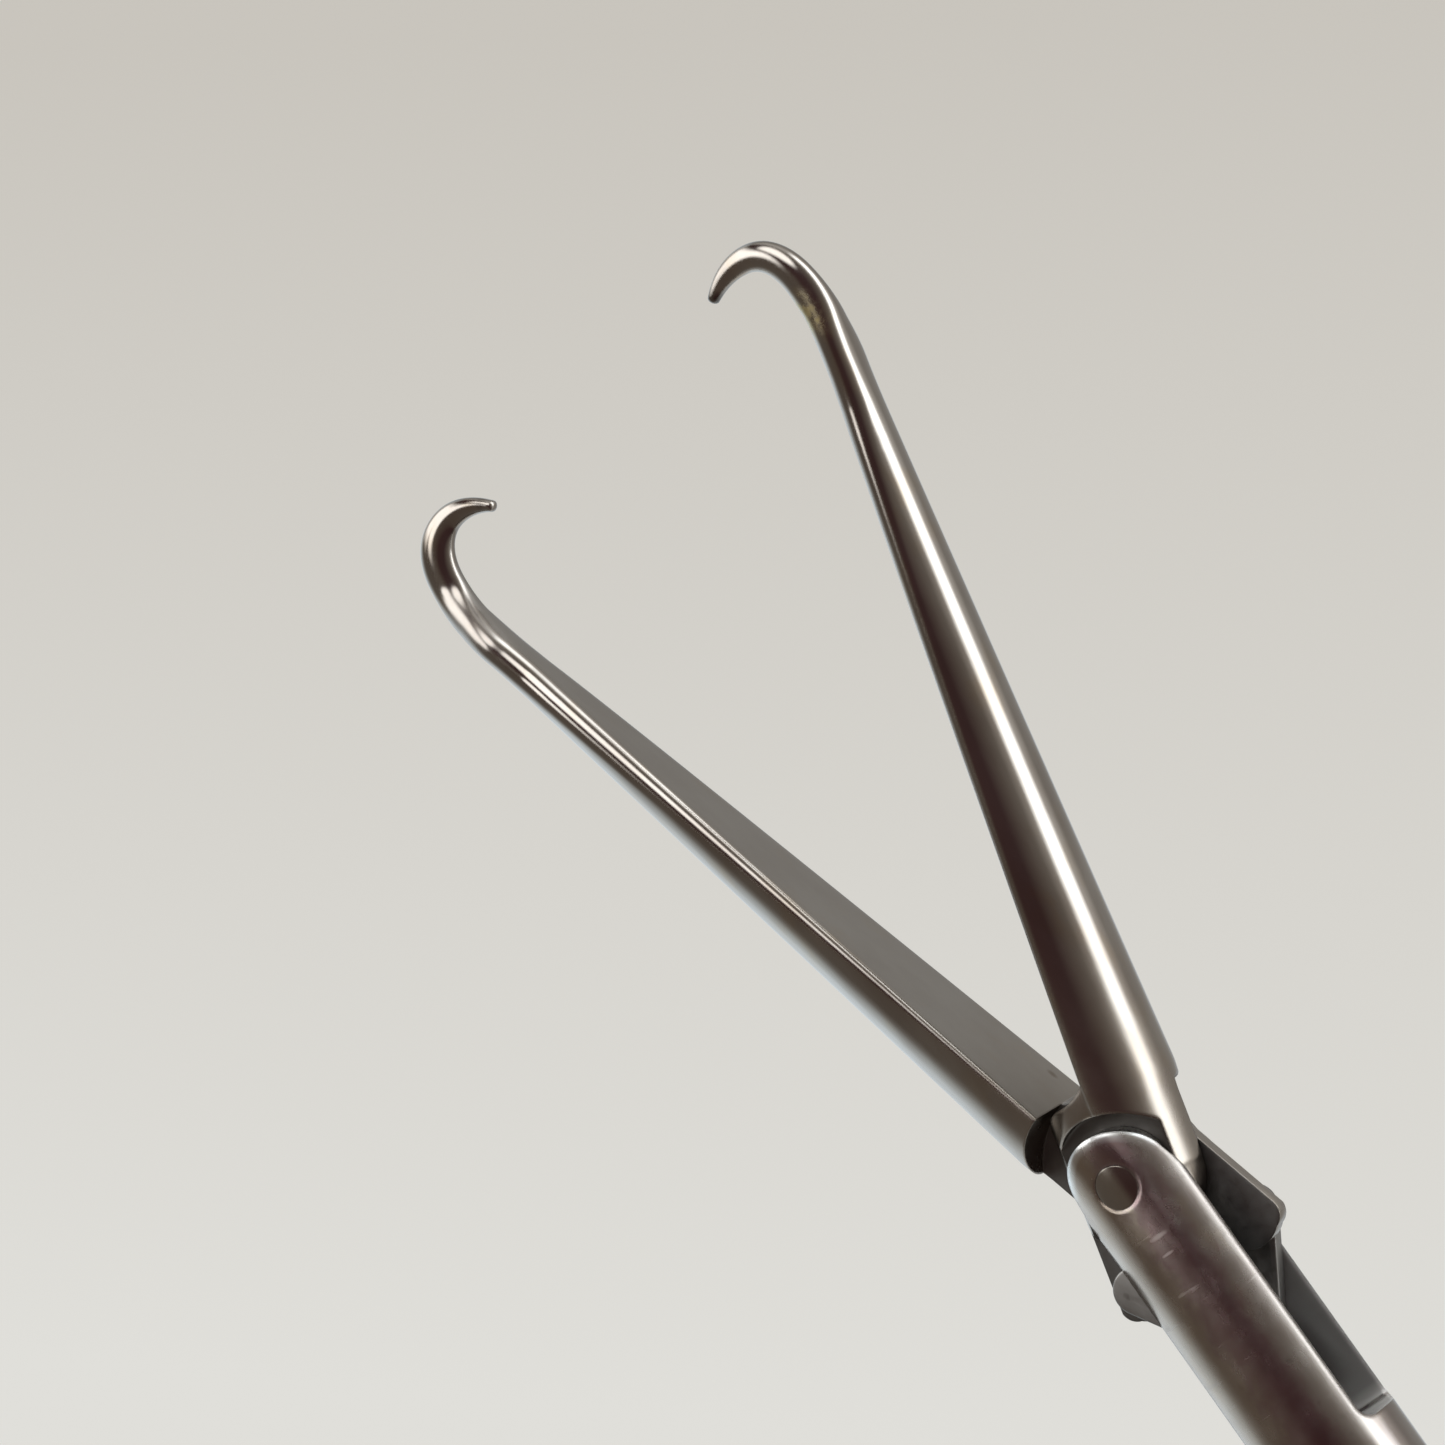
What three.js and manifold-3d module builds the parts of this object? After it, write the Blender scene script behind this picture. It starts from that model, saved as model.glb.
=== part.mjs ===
// Double-action tenaculum forceps for keyhole surgery: two long half-round jaws with single
// inward hooks, opened and closed by a pair of links, a push rod and an all-steel ring handle.
// Millimetres, +Z up. The instrument lies on its side: the shaft runs along X with the jaws
// towards +X, and the jaw pin and the lever screw stand along Z.
// Everything is drawn in the instrument's own frame, with the jaw pin on Z and the shaft axis on X,
// and moved at the end so that the origin is on the table under the middle of the instrument.
import * as THREE from 'three';
import { mergeVertices } from 'three/addons/utils/BufferGeometryUtils.js';
import Module from 'manifold-3d';

const wasm = await Module();
wasm.setup();

// ---- driving dimensions ----
const R = 5;                        // shaft radius
const JAW_OPENING = 15.6;           // each jaw's angle from the shaft axis at rest, degrees
const PIN_R = 0.3 * R;              // jaw pin
const SLOT_HALF = 0.57 * R;         // half the width of the clevis slot
const SLOT_END = -4.38 * R;
const CHEEK_R = 0.75 * R;           // round end of each clevis cheek
const RUN_GAP = 0.05;               // running clearance
const FIT_GAP = 0.03;               // clearance inside one rigid group

// jaw, measured along its own axis from the jaw pin
const HEEL_R = 0.95 * R;
const HEEL_BACK = -0.16 * R;
const LEDGE_X = 1.15 * R;           // where the turned heel meets the tapered shank
const SHANK_R0 = 0.974 * R;
const SHANK_R1 = 0.442 * R;
const SHANK_END = 12.75 * R;
const HALF_LAP_X = 12.3 * R;        // beyond this the two hooks pass side by side
const SCOOP_R = 1.42 * R;
const SHOULDER_R = 0.99 * R;
const TAIL_HUB_R = 0.94 * R;
const TAIL_END_R = 0.48 * R;
const TAIL_EDGE = 0.9 * R;          // straight outer edge of the tail
const PIVOT_TO_RIVET = 1.52 * R;    // also the length of each link
const TAIL_ANGLE = 18.1;            // rivet's angle behind the pin with the jaws shut, degrees
const HOOK_Z = 0.38 * R;

// layers across the slot, from the middle outwards
const TAIL_TOP = 0.276 * R;
const LINK_LOW = 0.29 * R;
const LINK_TOP = 0.55 * R;
const HUB_TOP = 0.556 * R;

// linkage
const LINK_HALF_WIDTH = 0.33 * R;
const RIVET_R = 0.16 * R;
const RIVET_LOW = 0.09 * R;         // the rivet's blind hole starts here, inside the tail
const ROD_PIN_R = 0.17 * R;
const ROD_PIN_PLAY = 0.28;          // the open pivot's play: the links move the rod unevenly
const ROD_PIN_X = -2.486 * R;
const BLADE_R = 0.46 * R;
const BLADE_BACK = ROD_PIN_X - 1.1 * R;

// shaft
const CLEVIS_BACK = -6.6 * R;
const SPIGOT_LENGTH = 12;
const TUBE_BORE = 0.87 * R;
const ROD_R = 0.32 * R;
const TIP_SHANK_R = 0.35 * R;
const ROD_BORE = 0.39 * R;
const TIP_SHANK_BACK = -40;
const ROD_SPIGOT_R = 1;
const ROD_SPIGOT_LENGTH = 5;
const TUBE_BACK = -300;

// handle
const KNOB_FRONT = -262;
const KNOB_LENGTH = 14;
const KNOB_R = 10;
const FLUTES = 10;
const HEAD_FRONT = -277;
const HEAD_BACK = -308;
const HEAD_R = 9.5;
const SLEEVE_R = 6.5;
const FLANGE_R = 7.8;
const FLANGE_FRONT = -300.5;
const FLANGE_BACK = -303.5;
const LEVER_X = -318;
const LEVER_Y = -13;
const BALL_R = 3;
const LEVER_HALF = 5;
const CHEEK_IN = 5.7;
const CHEEK_OUT = 8.4;
const SCREW_R = 2.5;
const RING_HALF = 5;
const FINGER_RING = { x: -284, y: -74, rx: 11, ry: 16 };
const THUMB_RING = { x: -353, y: -71, rx: 11.5, ry: 11.5 };
const RING_WALL = 5.5;
const RACK_R = 40;                  // radius of the ratchet racks about the lever screw
const RACK_WIDTH = 4;
const PORT_X = -289;

// ---- small geometry helpers ----
const rad = THREE.MathUtils.degToRad;

function toSolid(geometry) {
  const bare = geometry.clone();
  bare.deleteAttribute('normal');
  bare.deleteAttribute('uv');
  const merged = mergeVertices(bare, 1e-5);
  const mesh = new wasm.Mesh({
    numProp: 3,
    vertProperties: new Float32Array(merged.attributes.position.array),
    triVerts: new Uint32Array(merged.index.array),
  });
  return new wasm.Manifold(mesh);
}

function toGeometry(solid) {
  const mesh = solid.getMesh();
  const geometry = new THREE.BufferGeometry();
  geometry.setAttribute('position', new THREE.BufferAttribute(new Float32Array(mesh.vertProperties), 3));
  geometry.setIndex(new THREE.BufferAttribute(new Uint32Array(mesh.triVerts), 1));
  geometry.computeVertexNormals();
  return geometry;
}

// a box from its low and high corners
function box(low, high) {
  const geometry = new THREE.BoxGeometry(high[0] - low[0], high[1] - low[1], high[2] - low[2]);
  geometry.translate((low[0] + high[0]) / 2, (low[1] + high[1]) / 2, (low[2] + high[2]) / 2);
  return toSolid(geometry);
}

// a cylinder or cone along X, with radius r0 at x0 and r1 at x1
function alongX(r0, r1, x0, x1, sides = 32) {
  const geometry = new THREE.CylinderGeometry(r1, r0, x1 - x0, sides);
  geometry.rotateZ(-Math.PI / 2);
  geometry.translate((x0 + x1) / 2, 0, 0);
  return toSolid(geometry);
}

// a cylinder along Z or Y through (x, y) or (x, z)
function alongZ(radius, z0, z1, x = 0, y = 0, sides = 24) {
  const geometry = new THREE.CylinderGeometry(radius, radius, z1 - z0, sides);
  geometry.rotateX(Math.PI / 2);
  geometry.translate(x, y, (z0 + z1) / 2);
  return toSolid(geometry);
}

function alongY(radius, y0, y1, x = 0, z = 0, sides = 24) {
  const geometry = new THREE.CylinderGeometry(radius, radius, y1 - y0, sides);
  geometry.translate(x, (y0 + y1) / 2, z);
  return toSolid(geometry);
}

// a flat plate: an outline in the XY plane, from z0 to z1
function plate(shape, z0, z1, curveSegments = 12) {
  const geometry = new THREE.ExtrudeGeometry(shape, { depth: z1 - z0, bevelEnabled: false, curveSegments });
  geometry.translate(0, 0, z0);
  return toSolid(geometry);
}

function polygon(points) {
  return new THREE.Shape(points.map(([x, y]) => new THREE.Vector2(x, y)));
}

// a bar with round ends between two points
function stadium(ax, ay, bx, by, radius) {
  const angle = Math.atan2(by - ay, bx - ax);
  const shape = new THREE.Shape();
  shape.absarc(ax, ay, radius, angle + Math.PI / 2, angle + 1.5 * Math.PI, false);
  shape.absarc(bx, by, radius, angle - Math.PI / 2, angle + Math.PI / 2, false);
  shape.closePath();
  return shape;
}

function ellipse(x, y, rx, ry) {
  const shape = new THREE.Shape();
  shape.absellipse(x, y, rx, ry, 0, 2 * Math.PI, false, 0);
  return shape;
}

// a washer or tube along X
function ringX(outer, inner, x0, x1, sides = 32) {
  return alongX(outer, outer, x0, x1, sides).subtract(alongX(inner, inner, x0 - 1, x1 + 1, sides));
}

// ---- materials ----
const steel = (color, roughness) => ({ color, roughness, metalness: 1 });
const finish = {
  jaw: steel(0x8d8681, 0.28),
  shaft: steel(0x96908b, 0.3),
  pin: steel(0x8a8480, 0.32),
  link: steel(0x6e6a66, 0.42),
  handle: steel(0x9a9895, 0.36),
  silicone: { color: 0x8c8f92, roughness: 0.6, metalness: 0 },
  ptfe: { color: 0xe8e6e0, roughness: 0.5, metalness: 0 },
};

function part(name, solid, look) {
  const material = new THREE.MeshStandardMaterial(finish[look]);
  const mesh = new THREE.Mesh(toGeometry(solid), material);
  mesh.name = name;
  return mesh;
}

// ---- jaws ----
// The hook's outline, in shaft radii: out along the back of the bend, round the tip and back inside.
function hookOutline() {
  const shape = new THREE.Shape();
  shape.moveTo(12.2 * R, -0.46 * R);
  shape.bezierCurveTo(12.9 * R, -0.48 * R, 13.56 * R, -0.08 * R, 13.56 * R, 0.46 * R);
  shape.bezierCurveTo(13.56 * R, 0.8 * R, 13.3 * R, 1.16 * R, 12.99 * R, 1.28 * R);
  shape.lineTo(12.9 * R, 1.17 * R);
  shape.bezierCurveTo(13.02 * R, 0.98 * R, 13.16 * R, 0.78 * R, 13.13 * R, 0.52 * R);
  shape.bezierCurveTo(13.1 * R, 0.24 * R, 12.85 * R, -RUN_GAP, 12.35 * R, -RUN_GAP);
  shape.lineTo(12.2 * R, -RUN_GAP);
  shape.closePath();
  return shape;
}

// where the link's rivet sits on a shut jaw
const RIVET_X = -PIVOT_TO_RIVET * Math.cos(rad(TAIL_ANGLE));
const RIVET_Y = PIVOT_TO_RIVET * Math.sin(rad(TAIL_ANGLE));

// A shut jaw: shank on the -Y side, hub and tail in the front (+Z) half of the slot.
function jawSolid() {
  const shank = alongX(SHANK_R0, SHANK_R1, LEDGE_X, SHANK_END);
  const heel = alongX(HEEL_R, HEEL_R, HEEL_BACK, LEDGE_X + 0.01);
  const halfRound = shank.add(heel).intersect(box([-R, -2 * R, -2 * R], [15 * R, -RUN_GAP, 2 * R]));
  const scoop = alongZ(SCOOP_R, -2 * R, RUN_GAP, 0, 0, 40);
  const cheekRoom = alongZ(SHOULDER_R, HUB_TOP, 2 * R, 0, 0, 40);
  const halfLap = box([HALF_LAP_X, -2 * R, -2 * R], [15 * R, 2 * R, RUN_GAP]);
  const shankSide = halfRound.subtract(scoop).subtract(cheekRoom).subtract(halfLap);

  // ahead of the pin the hub flares out of the flat up to the full round of the jaw
  const distal = plate(polygon([
    [0, R], [0.7 * R, R], [0.86 * R, 0.9 * R], [R, 0.82 * R], [1.1 * R, 0.72 * R], [1.17 * R, 0.6 * R],
    [1.2 * R, 0.44 * R], [1.24 * R, 0.28 * R], [1.3 * R, 0.14 * R], [1.36 * R, 0.05 * R], [1.45 * R, -0.05 * R],
    [1.1 * R, -0.5 * R], [0.5 * R, -0.7 * R], [0, -0.7 * R],
  ]), RUN_GAP, R).subtract(cheekRoom);
  const proximal = alongZ(TAIL_HUB_R, RUN_GAP, HUB_TOP, 0, 0, 40);
  const tail = plate(polygon([
    [0, TAIL_EDGE], [RIVET_X - 0.2 * R, TAIL_EDGE], [RIVET_X - 0.35 * R, 0.83 * R], [RIVET_X - 0.44 * R, 0.66 * R],
    [RIVET_X, RIVET_Y - TAIL_END_R], [0, -0.5 * R],
  ]), RUN_GAP, TAIL_TOP);
  const tailEnd = alongZ(TAIL_END_R, RUN_GAP, TAIL_TOP, RIVET_X, RIVET_Y)
    .intersect(box([-3 * R, -R, 0], [0, TAIL_EDGE, R]));
  const envelope = alongX(HEEL_R, HEEL_R, -3 * R, 2 * R, 40);
  const hub = distal.add(proximal).add(tail).add(tailEnd).intersect(envelope);

  const hook = plate(hookOutline(), RUN_GAP, HOOK_Z, 8);
  const pinHole = alongZ(PIN_R + RUN_GAP, -R, 2 * R, 0, 0, 32);
  const rivetHole = alongZ(RIVET_R + FIT_GAP, RIVET_LOW, R, RIVET_X, RIVET_Y);
  return shankSide.add(hub).add(hook).subtract(pinHole).subtract(rivetHole);
}

// ---- links: drawn with the jaw shut towards +Y, then carried to rest ----
const REST_TAIL = rad(TAIL_ANGLE + JAW_OPENING);
const REST_RIVET_X = -PIVOT_TO_RIVET * Math.cos(REST_TAIL);
const REST_RIVET_Y = PIVOT_TO_RIVET * Math.sin(REST_TAIL);

function linkSolid() {
  const body = plate(stadium(REST_RIVET_X, REST_RIVET_Y, 2 * REST_RIVET_X, 0, LINK_HALF_WIDTH), LINK_LOW, LINK_TOP);
  const rivetHole = alongZ(RIVET_R + RUN_GAP + 0.01, 0, R, REST_RIVET_X, REST_RIVET_Y);
  const rodHole = alongZ(ROD_PIN_R + ROD_PIN_PLAY, 0, R, 2 * REST_RIVET_X, 0, 32);
  return body.subtract(rivetHole).subtract(rodHole);
}

function rivetSolid() {
  return alongZ(RIVET_R, RIVET_LOW + FIT_GAP, LINK_TOP - FIT_GAP, REST_RIVET_X, REST_RIVET_Y);
}

// ---- working end ----
function clevisSolid() {
  const flare = 0.86 * R;
  const outline = new THREE.Shape();
  outline.moveTo(CLEVIS_BACK, -1.2 * R);
  outline.lineTo(-0.48 * R, -1.2 * R);
  outline.lineTo(-0.48 * R, -flare);
  outline.absarc(0, 0, CHEEK_R, rad(-80), rad(80), false);
  outline.lineTo(-0.48 * R, flare);
  outline.lineTo(-0.48 * R, 1.2 * R);
  outline.lineTo(CLEVIS_BACK, 1.2 * R);
  outline.closePath();
  const body = alongX(R, R, CLEVIS_BACK, R, 48).intersect(plate(outline, -1.2 * R, 1.2 * R, 12));
  const spigot = alongX(TUBE_BORE - FIT_GAP, TUBE_BORE - FIT_GAP, CLEVIS_BACK - SPIGOT_LENGTH, CLEVIS_BACK + 1);
  // the slot is milled with a small radius in its two inner corners
  const corner = 0.2 * R;
  const slot = new THREE.Shape();
  slot.moveTo(2 * R, -SLOT_HALF);
  slot.lineTo(2 * R, SLOT_HALF);
  slot.lineTo(SLOT_END + corner, SLOT_HALF);
  slot.absarc(SLOT_END + corner, SLOT_HALF - corner, corner, rad(90), rad(180), false);
  slot.absarc(SLOT_END + corner, -SLOT_HALF + corner, corner, rad(180), rad(270), false);
  slot.closePath();
  const slotTool = plate(slot, -1.5 * R, 1.5 * R, 4).rotate([90, 0, 0]);
  const rodBore = alongX(ROD_BORE, ROD_BORE, CLEVIS_BACK - SPIGOT_LENGTH - 1, SLOT_END + 1, 24);
  const pinHole = alongZ(PIN_R + FIT_GAP, -2 * R, 2 * R, 0, 0, 32);
  return body.add(spigot).subtract(slotTool).subtract(rodBore).subtract(pinHole);
}

// both ends of the jaw pin are dressed flush with the round of the cheeks
function jawPinSolid() {
  return alongZ(PIN_R, -R, R, 0, 0, 32).intersect(alongX(R - 0.03, R - 0.03, -R, R, 48));
}

function rodTipSolid() {
  const outline = new THREE.Shape();
  outline.absarc(ROD_PIN_X, 0, BLADE_R, rad(-90), rad(90), false);
  outline.lineTo(BLADE_BACK, BLADE_R);
  outline.lineTo(BLADE_BACK - 1.5, TIP_SHANK_R);
  outline.lineTo(BLADE_BACK - 1.5, -TIP_SHANK_R);
  outline.lineTo(BLADE_BACK, -BLADE_R);
  outline.closePath();
  const blade = plate(outline, -TAIL_TOP, TAIL_TOP);
  const shank = alongX(TIP_SHANK_R, TIP_SHANK_R, TIP_SHANK_BACK, BLADE_BACK - 0.5, 24);
  const socket = alongX(
    ROD_SPIGOT_R + FIT_GAP, ROD_SPIGOT_R + FIT_GAP, TIP_SHANK_BACK - 1, TIP_SHANK_BACK + ROD_SPIGOT_LENGTH + 0.3, 16);
  const pinHole = alongZ(ROD_PIN_R + FIT_GAP, -R, R, ROD_PIN_X, 0);
  return blade.add(shank).subtract(socket).subtract(pinHole);
}

function rodPinSolid() {
  return alongZ(ROD_PIN_R, -LINK_TOP, LINK_TOP, ROD_PIN_X, 0);
}

function pushRodSolid() {
  const front = TIP_SHANK_BACK - 0.1;
  const back = LEVER_X + BALL_R;
  const rod = alongX(ROD_R, ROD_R, back + 0.1, front, 24);
  const frontSpigot = alongX(ROD_SPIGOT_R, ROD_SPIGOT_R, front - 1, front + ROD_SPIGOT_LENGTH, 16);
  const backSpigot = alongX(ROD_SPIGOT_R, ROD_SPIGOT_R, back - BALL_R, back + 1, 16);
  return rod.add(frontSpigot).add(backSpigot);
}

function rodBallSolid() {
  const geometry = new THREE.SphereGeometry(BALL_R, 24, 16);
  geometry.rotateZ(Math.PI / 2);
  geometry.translate(LEVER_X, 0, 0);
  const bore = ROD_SPIGOT_R + FIT_GAP;
  return toSolid(geometry).subtract(alongX(bore, bore, LEVER_X - 0.4, LEVER_X + 2 * BALL_R, 16));
}

// ---- shaft group behind the working end ----
function tubeSolid() {
  return ringX(R, TUBE_BORE, TUBE_BACK, CLEVIS_BACK - 0.1, 40);
}

function sealSolid() {
  return ringX(TUBE_BORE - FIT_GAP, ROD_R + 0.08, TUBE_BACK + 3, TUBE_BACK + 7, 24);
}

function knobSolid() {
  const chamfer = 1.2;
  const outline = [
    [KNOB_FRONT, R + FIT_GAP],
    [KNOB_FRONT - KNOB_LENGTH, R + FIT_GAP],
    [KNOB_FRONT - KNOB_LENGTH, KNOB_R - chamfer],
    [KNOB_FRONT - KNOB_LENGTH + chamfer, KNOB_R],
    [KNOB_FRONT - 2 * chamfer, KNOB_R],
    [KNOB_FRONT, KNOB_R - 2 * chamfer],
    [KNOB_FRONT, R + FIT_GAP],
  ];
  const lathe = new THREE.LatheGeometry(outline.map(([x, radius]) => new THREE.Vector2(radius, x)), 40);
  lathe.rotateZ(-Math.PI / 2);
  let knob = toSolid(lathe);
  for (let i = 0; i < FLUTES; i += 1) {
    const angle = (2 * Math.PI * (i + 0.5)) / FLUTES;
    const flute = alongX(1.7, 1.7, KNOB_FRONT - KNOB_LENGTH - 1, KNOB_FRONT + 1, 12)
      .translate([0, (KNOB_R + 0.6) * Math.cos(angle), (KNOB_R + 0.6) * Math.sin(angle)]);
    knob = knob.subtract(flute);
  }
  const middle = KNOB_FRONT - KNOB_LENGTH / 2;
  return knob.subtract(alongY(1.5 + FIT_GAP, 0, 2 * KNOB_R, middle, 0, 16));
}

function grubScrewSolid() {
  const middle = KNOB_FRONT - KNOB_LENGTH / 2;
  const screw = alongY(1.5, R + 0.1, KNOB_R - 1.2, middle, 0, 16);
  return screw.subtract(alongY(0.8, KNOB_R - 2.8, KNOB_R, middle, 0, 6));
}

// the sleeve carries the tube and turns in the handle's head; its flange is held by the head nut
function sleeveSolid() {
  const barrel = alongX(SLEEVE_R, SLEEVE_R, FLANGE_BACK, HEAD_FRONT + 0.7, 32);
  const flange = alongX(FLANGE_R, FLANGE_R, FLANGE_BACK, FLANGE_FRONT, 32);
  const groove = ringX(SLEEVE_R + 1, SLEEVE_R - 1.1, HEAD_FRONT - 5.1, HEAD_FRONT - 2.9, 32);
  const bore = alongX(R + FIT_GAP, R + FIT_GAP, TUBE_BACK - 0.1, HEAD_FRONT + 2, 40);
  const rodWay = alongX(ROD_R + 0.6, ROD_R + 0.6, FLANGE_BACK - 1, TUBE_BACK + 1, 24);
  return barrel.add(flange).subtract(groove).subtract(bore).subtract(rodWay);
}

function oRingSolid() {
  const section = new THREE.Path().absarc(SLEEVE_R - 0.2, 0, 0.75, 0, 2 * Math.PI, false).getPoints(3);
  const ring = new THREE.LatheGeometry(section, 32);
  ring.rotateZ(-Math.PI / 2);
  ring.translate(HEAD_FRONT - 4, 0, 0);
  return toSolid(ring).intersect(ringX(SLEEVE_R + RUN_GAP, SLEEVE_R - 1.02, HEAD_FRONT - 5, HEAD_FRONT - 3, 32));
}

function headNutSolid() {
  const nut = ringX(FLANGE_R + 0.2, ROD_R + 1.4, FLANGE_BACK - 3.6, FLANGE_BACK - 0.1, 32);
  const spanner = [-1, 1].map((side) => alongX(0.8, 0.8, FLANGE_BACK - 5, FLANGE_BACK - 1.8, 10)
    .translate([0, 0, side * 5.6]));
  return nut.subtract(spanner[0]).subtract(spanner[1]);
}

// ---- handle ----
// a flat finger ring
function ringSolid({ x, y, rx, ry }) {
  const outer = plate(ellipse(x, y, rx + RING_WALL, ry + RING_WALL), -RING_HALF, RING_HALF, 28);
  return outer.subtract(plate(ellipse(x, y, rx, ry), -2 * RING_HALF, 2 * RING_HALF, 28));
}

// A point on a circle round the lever screw, its angle counted from straight down towards the thumb ring.
function roundLever(radius, degrees) {
  return [LEVER_X - radius * Math.sin(rad(degrees)), LEVER_Y - radius * Math.cos(rad(degrees))];
}

// a curved ratchet rack between two angles, with small teeth near its free end
function rackSolid(rootAngle, tipAngle, side) {
  const shape = new THREE.Shape();
  const start = rad(-90 - rootAngle);
  const end = rad(-90 - tipAngle);
  const clockwise = end < start;
  shape.absarc(LEVER_X, LEVER_Y, RACK_R + RACK_WIDTH / 2, start, end, clockwise);
  shape.absarc(LEVER_X, LEVER_Y, RACK_R - RACK_WIDTH / 2, end, start, !clockwise);
  shape.closePath();
  const span = side > 0 ? [0.9, 3.6] : [-3.6, -0.9];
  let rack = plate(shape, span[0], span[1], 8);
  const away = Math.sign(rootAngle - tipAngle);
  for (let i = 0; i < 4; i += 1) {
    const angle = tipAngle + away * (0.6 + 1.8 * i);
    const tooth = polygon([[0, 0], [1.1, 0], [1.1, 0.6]]);
    const wedge = plate(tooth, -RACK_WIDTH / 2, RACK_WIDTH / 2)
      .rotate([side > 0 ? -90 : 90, 0, away > 0 ? 0 : 180])
      .translate([0, 0, side * 0.95])
      .rotate([0, 0, -angle]);
    const [x, y] = roundLever(RACK_R, angle);
    rack = rack.add(wedge.translate([x, y, 0]));
  }
  return rack;
}

function frameSolid() {
  const head = alongX(HEAD_R, HEAD_R, HEAD_BACK, HEAD_FRONT, 40);
  const cheek = new THREE.Shape();
  cheek.moveTo(-299, 8.2);
  cheek.lineTo(-322, 8.2);
  cheek.absarc(-323, 0.2, 8, rad(90), rad(180), false);
  cheek.lineTo(-331, -16);
  cheek.absarc(-323, -16, 8, rad(180), rad(270), false);
  cheek.lineTo(-306, -24);
  cheek.absarc(-306, -17, 7, rad(270), rad(350), false);
  cheek.closePath();
  const cheeks = plate(cheek, -CHEEK_OUT, CHEEK_OUT, 10);
  const leverRoom = box([-340, -40, -CHEEK_IN], [HEAD_BACK, 20, CHEEK_IN]);
  // the front grip sweeps down from the head to the finger ring
  const grip = new THREE.Shape();
  grip.moveTo(-309, -6);
  grip.lineTo(-309, -24);
  grip.bezierCurveTo(-300, -27, -292.5, -36, -291.5, -54);
  grip.lineTo(-279.5, -54);
  grip.bezierCurveTo(-279, -36, -281, -20, -287, -7);
  grip.closePath();
  const gripPlate = plate(grip, -RING_HALF, RING_HALF, 12);
  const bore = alongX(SLEEVE_R + RUN_GAP + 0.03, SLEEVE_R + RUN_GAP + 0.03, HEAD_BACK - 30, HEAD_FRONT + 1, 40);
  const nutBore = alongX(FLANGE_R + 0.25, FLANGE_R + 0.25, HEAD_BACK - 30, FLANGE_FRONT + 0.15, 40);
  const screwHole = alongZ(SCREW_R + FIT_GAP, -2 * CHEEK_OUT, 2 * CHEEK_OUT, LEVER_X, LEVER_Y);
  const detentHole = alongX(1.3, 1.3, HEAD_FRONT - 7, HEAD_FRONT + 1, 16).translate([0, 0, 8]);
  const portHole = alongY(2.5 + FIT_GAP, 0, 2 * HEAD_R, PORT_X);
  return head.add(cheeks.subtract(leverRoom)).subtract(bore).subtract(nutBore)
    .add(gripPlate.subtract(alongX(HEAD_R - 0.5, HEAD_R - 0.5, HEAD_BACK - 2, HEAD_FRONT + 1, 40)))
    .add(ringSolid(FINGER_RING)).add(rackSolid(-47, -11, -1))
    .subtract(screwHole).subtract(detentHole).subtract(portHole);
}

function leverSolid() {
  const topY = 6;
  const headBlock = box([LEVER_X - 5.5, LEVER_Y, -LEVER_HALF], [LEVER_X + 5.5, topY, LEVER_HALF]);
  const boss = alongZ(7, -LEVER_HALF, LEVER_HALF, LEVER_X, LEVER_Y, 32);
  const arm = new THREE.Shape();
  arm.moveTo(-323.5, -10);
  arm.bezierCurveTo(-331, -26, -341, -40, -351, -56);
  arm.lineTo(-339, -59);
  arm.bezierCurveTo(-333, -42, -321, -28, -312, -17);
  arm.closePath();
  const armPlate = plate(arm, -LEVER_HALF + 0.5, LEVER_HALF - 0.5, 12);
  const pocket = alongY(BALL_R + 0.1, -3.5, topY + 1, LEVER_X, 0, 32);
  const neckWay = box([LEVER_X, -3.5, -ROD_R - 0.3], [LEVER_X + 10, topY + 1, ROD_R + 0.3]);
  const screwHole = alongZ(SCREW_R + RUN_GAP + 0.03, -10, 10, LEVER_X, LEVER_Y);
  return headBlock.add(boss).add(armPlate).add(ringSolid(THUMB_RING)).add(rackSolid(30, -9, 1))
    .subtract(pocket).subtract(neckWay).subtract(screwHole);
}

function leverScrewSolid() {
  const shank = alongZ(SCREW_R, -CHEEK_OUT - 1.4, CHEEK_OUT + 0.5, LEVER_X, LEVER_Y);
  const head = alongZ(4.2, CHEEK_OUT + 0.05, CHEEK_OUT + 1.5, LEVER_X, LEVER_Y);
  const slot = box([LEVER_X - 5, LEVER_Y - 0.5, CHEEK_OUT + 0.8], [LEVER_X + 5, LEVER_Y + 0.5, CHEEK_OUT + 2]);
  return shank.add(head).subtract(slot);
}

function leverNutSolid() {
  const nut = alongZ(4.5, -CHEEK_OUT - 1.5, -CHEEK_OUT - 0.05, LEVER_X, LEVER_Y, 6);
  return nut.subtract(alongZ(SCREW_R + FIT_GAP, -2 * CHEEK_OUT, 0, LEVER_X, LEVER_Y));
}

function washerSolid(side) {
  const low = side > 0 ? LEVER_HALF + 0.08 : -CHEEK_IN + 0.08;
  const washer = alongZ(5.5, low, low + 0.54, LEVER_X, LEVER_Y);
  return washer.subtract(alongZ(SCREW_R + FIT_GAP, -10, 10, LEVER_X, LEVER_Y));
}

// a side port for rinsing the shaft, with its screw cap
function flushPortSolid() {
  const body = alongY(3.2, HEAD_R + 0.1, 22, PORT_X);
  const root = alongY(2.5, SLEEVE_R + 0.4, HEAD_R + 1, PORT_X);
  const collar = alongY(4.2, HEAD_R + 0.1, 12, PORT_X, 0, 6);
  const bore = alongY(1.6, 0, 30, PORT_X, 0, 16);
  return body.add(root).add(collar).subtract(bore);
}

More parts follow.
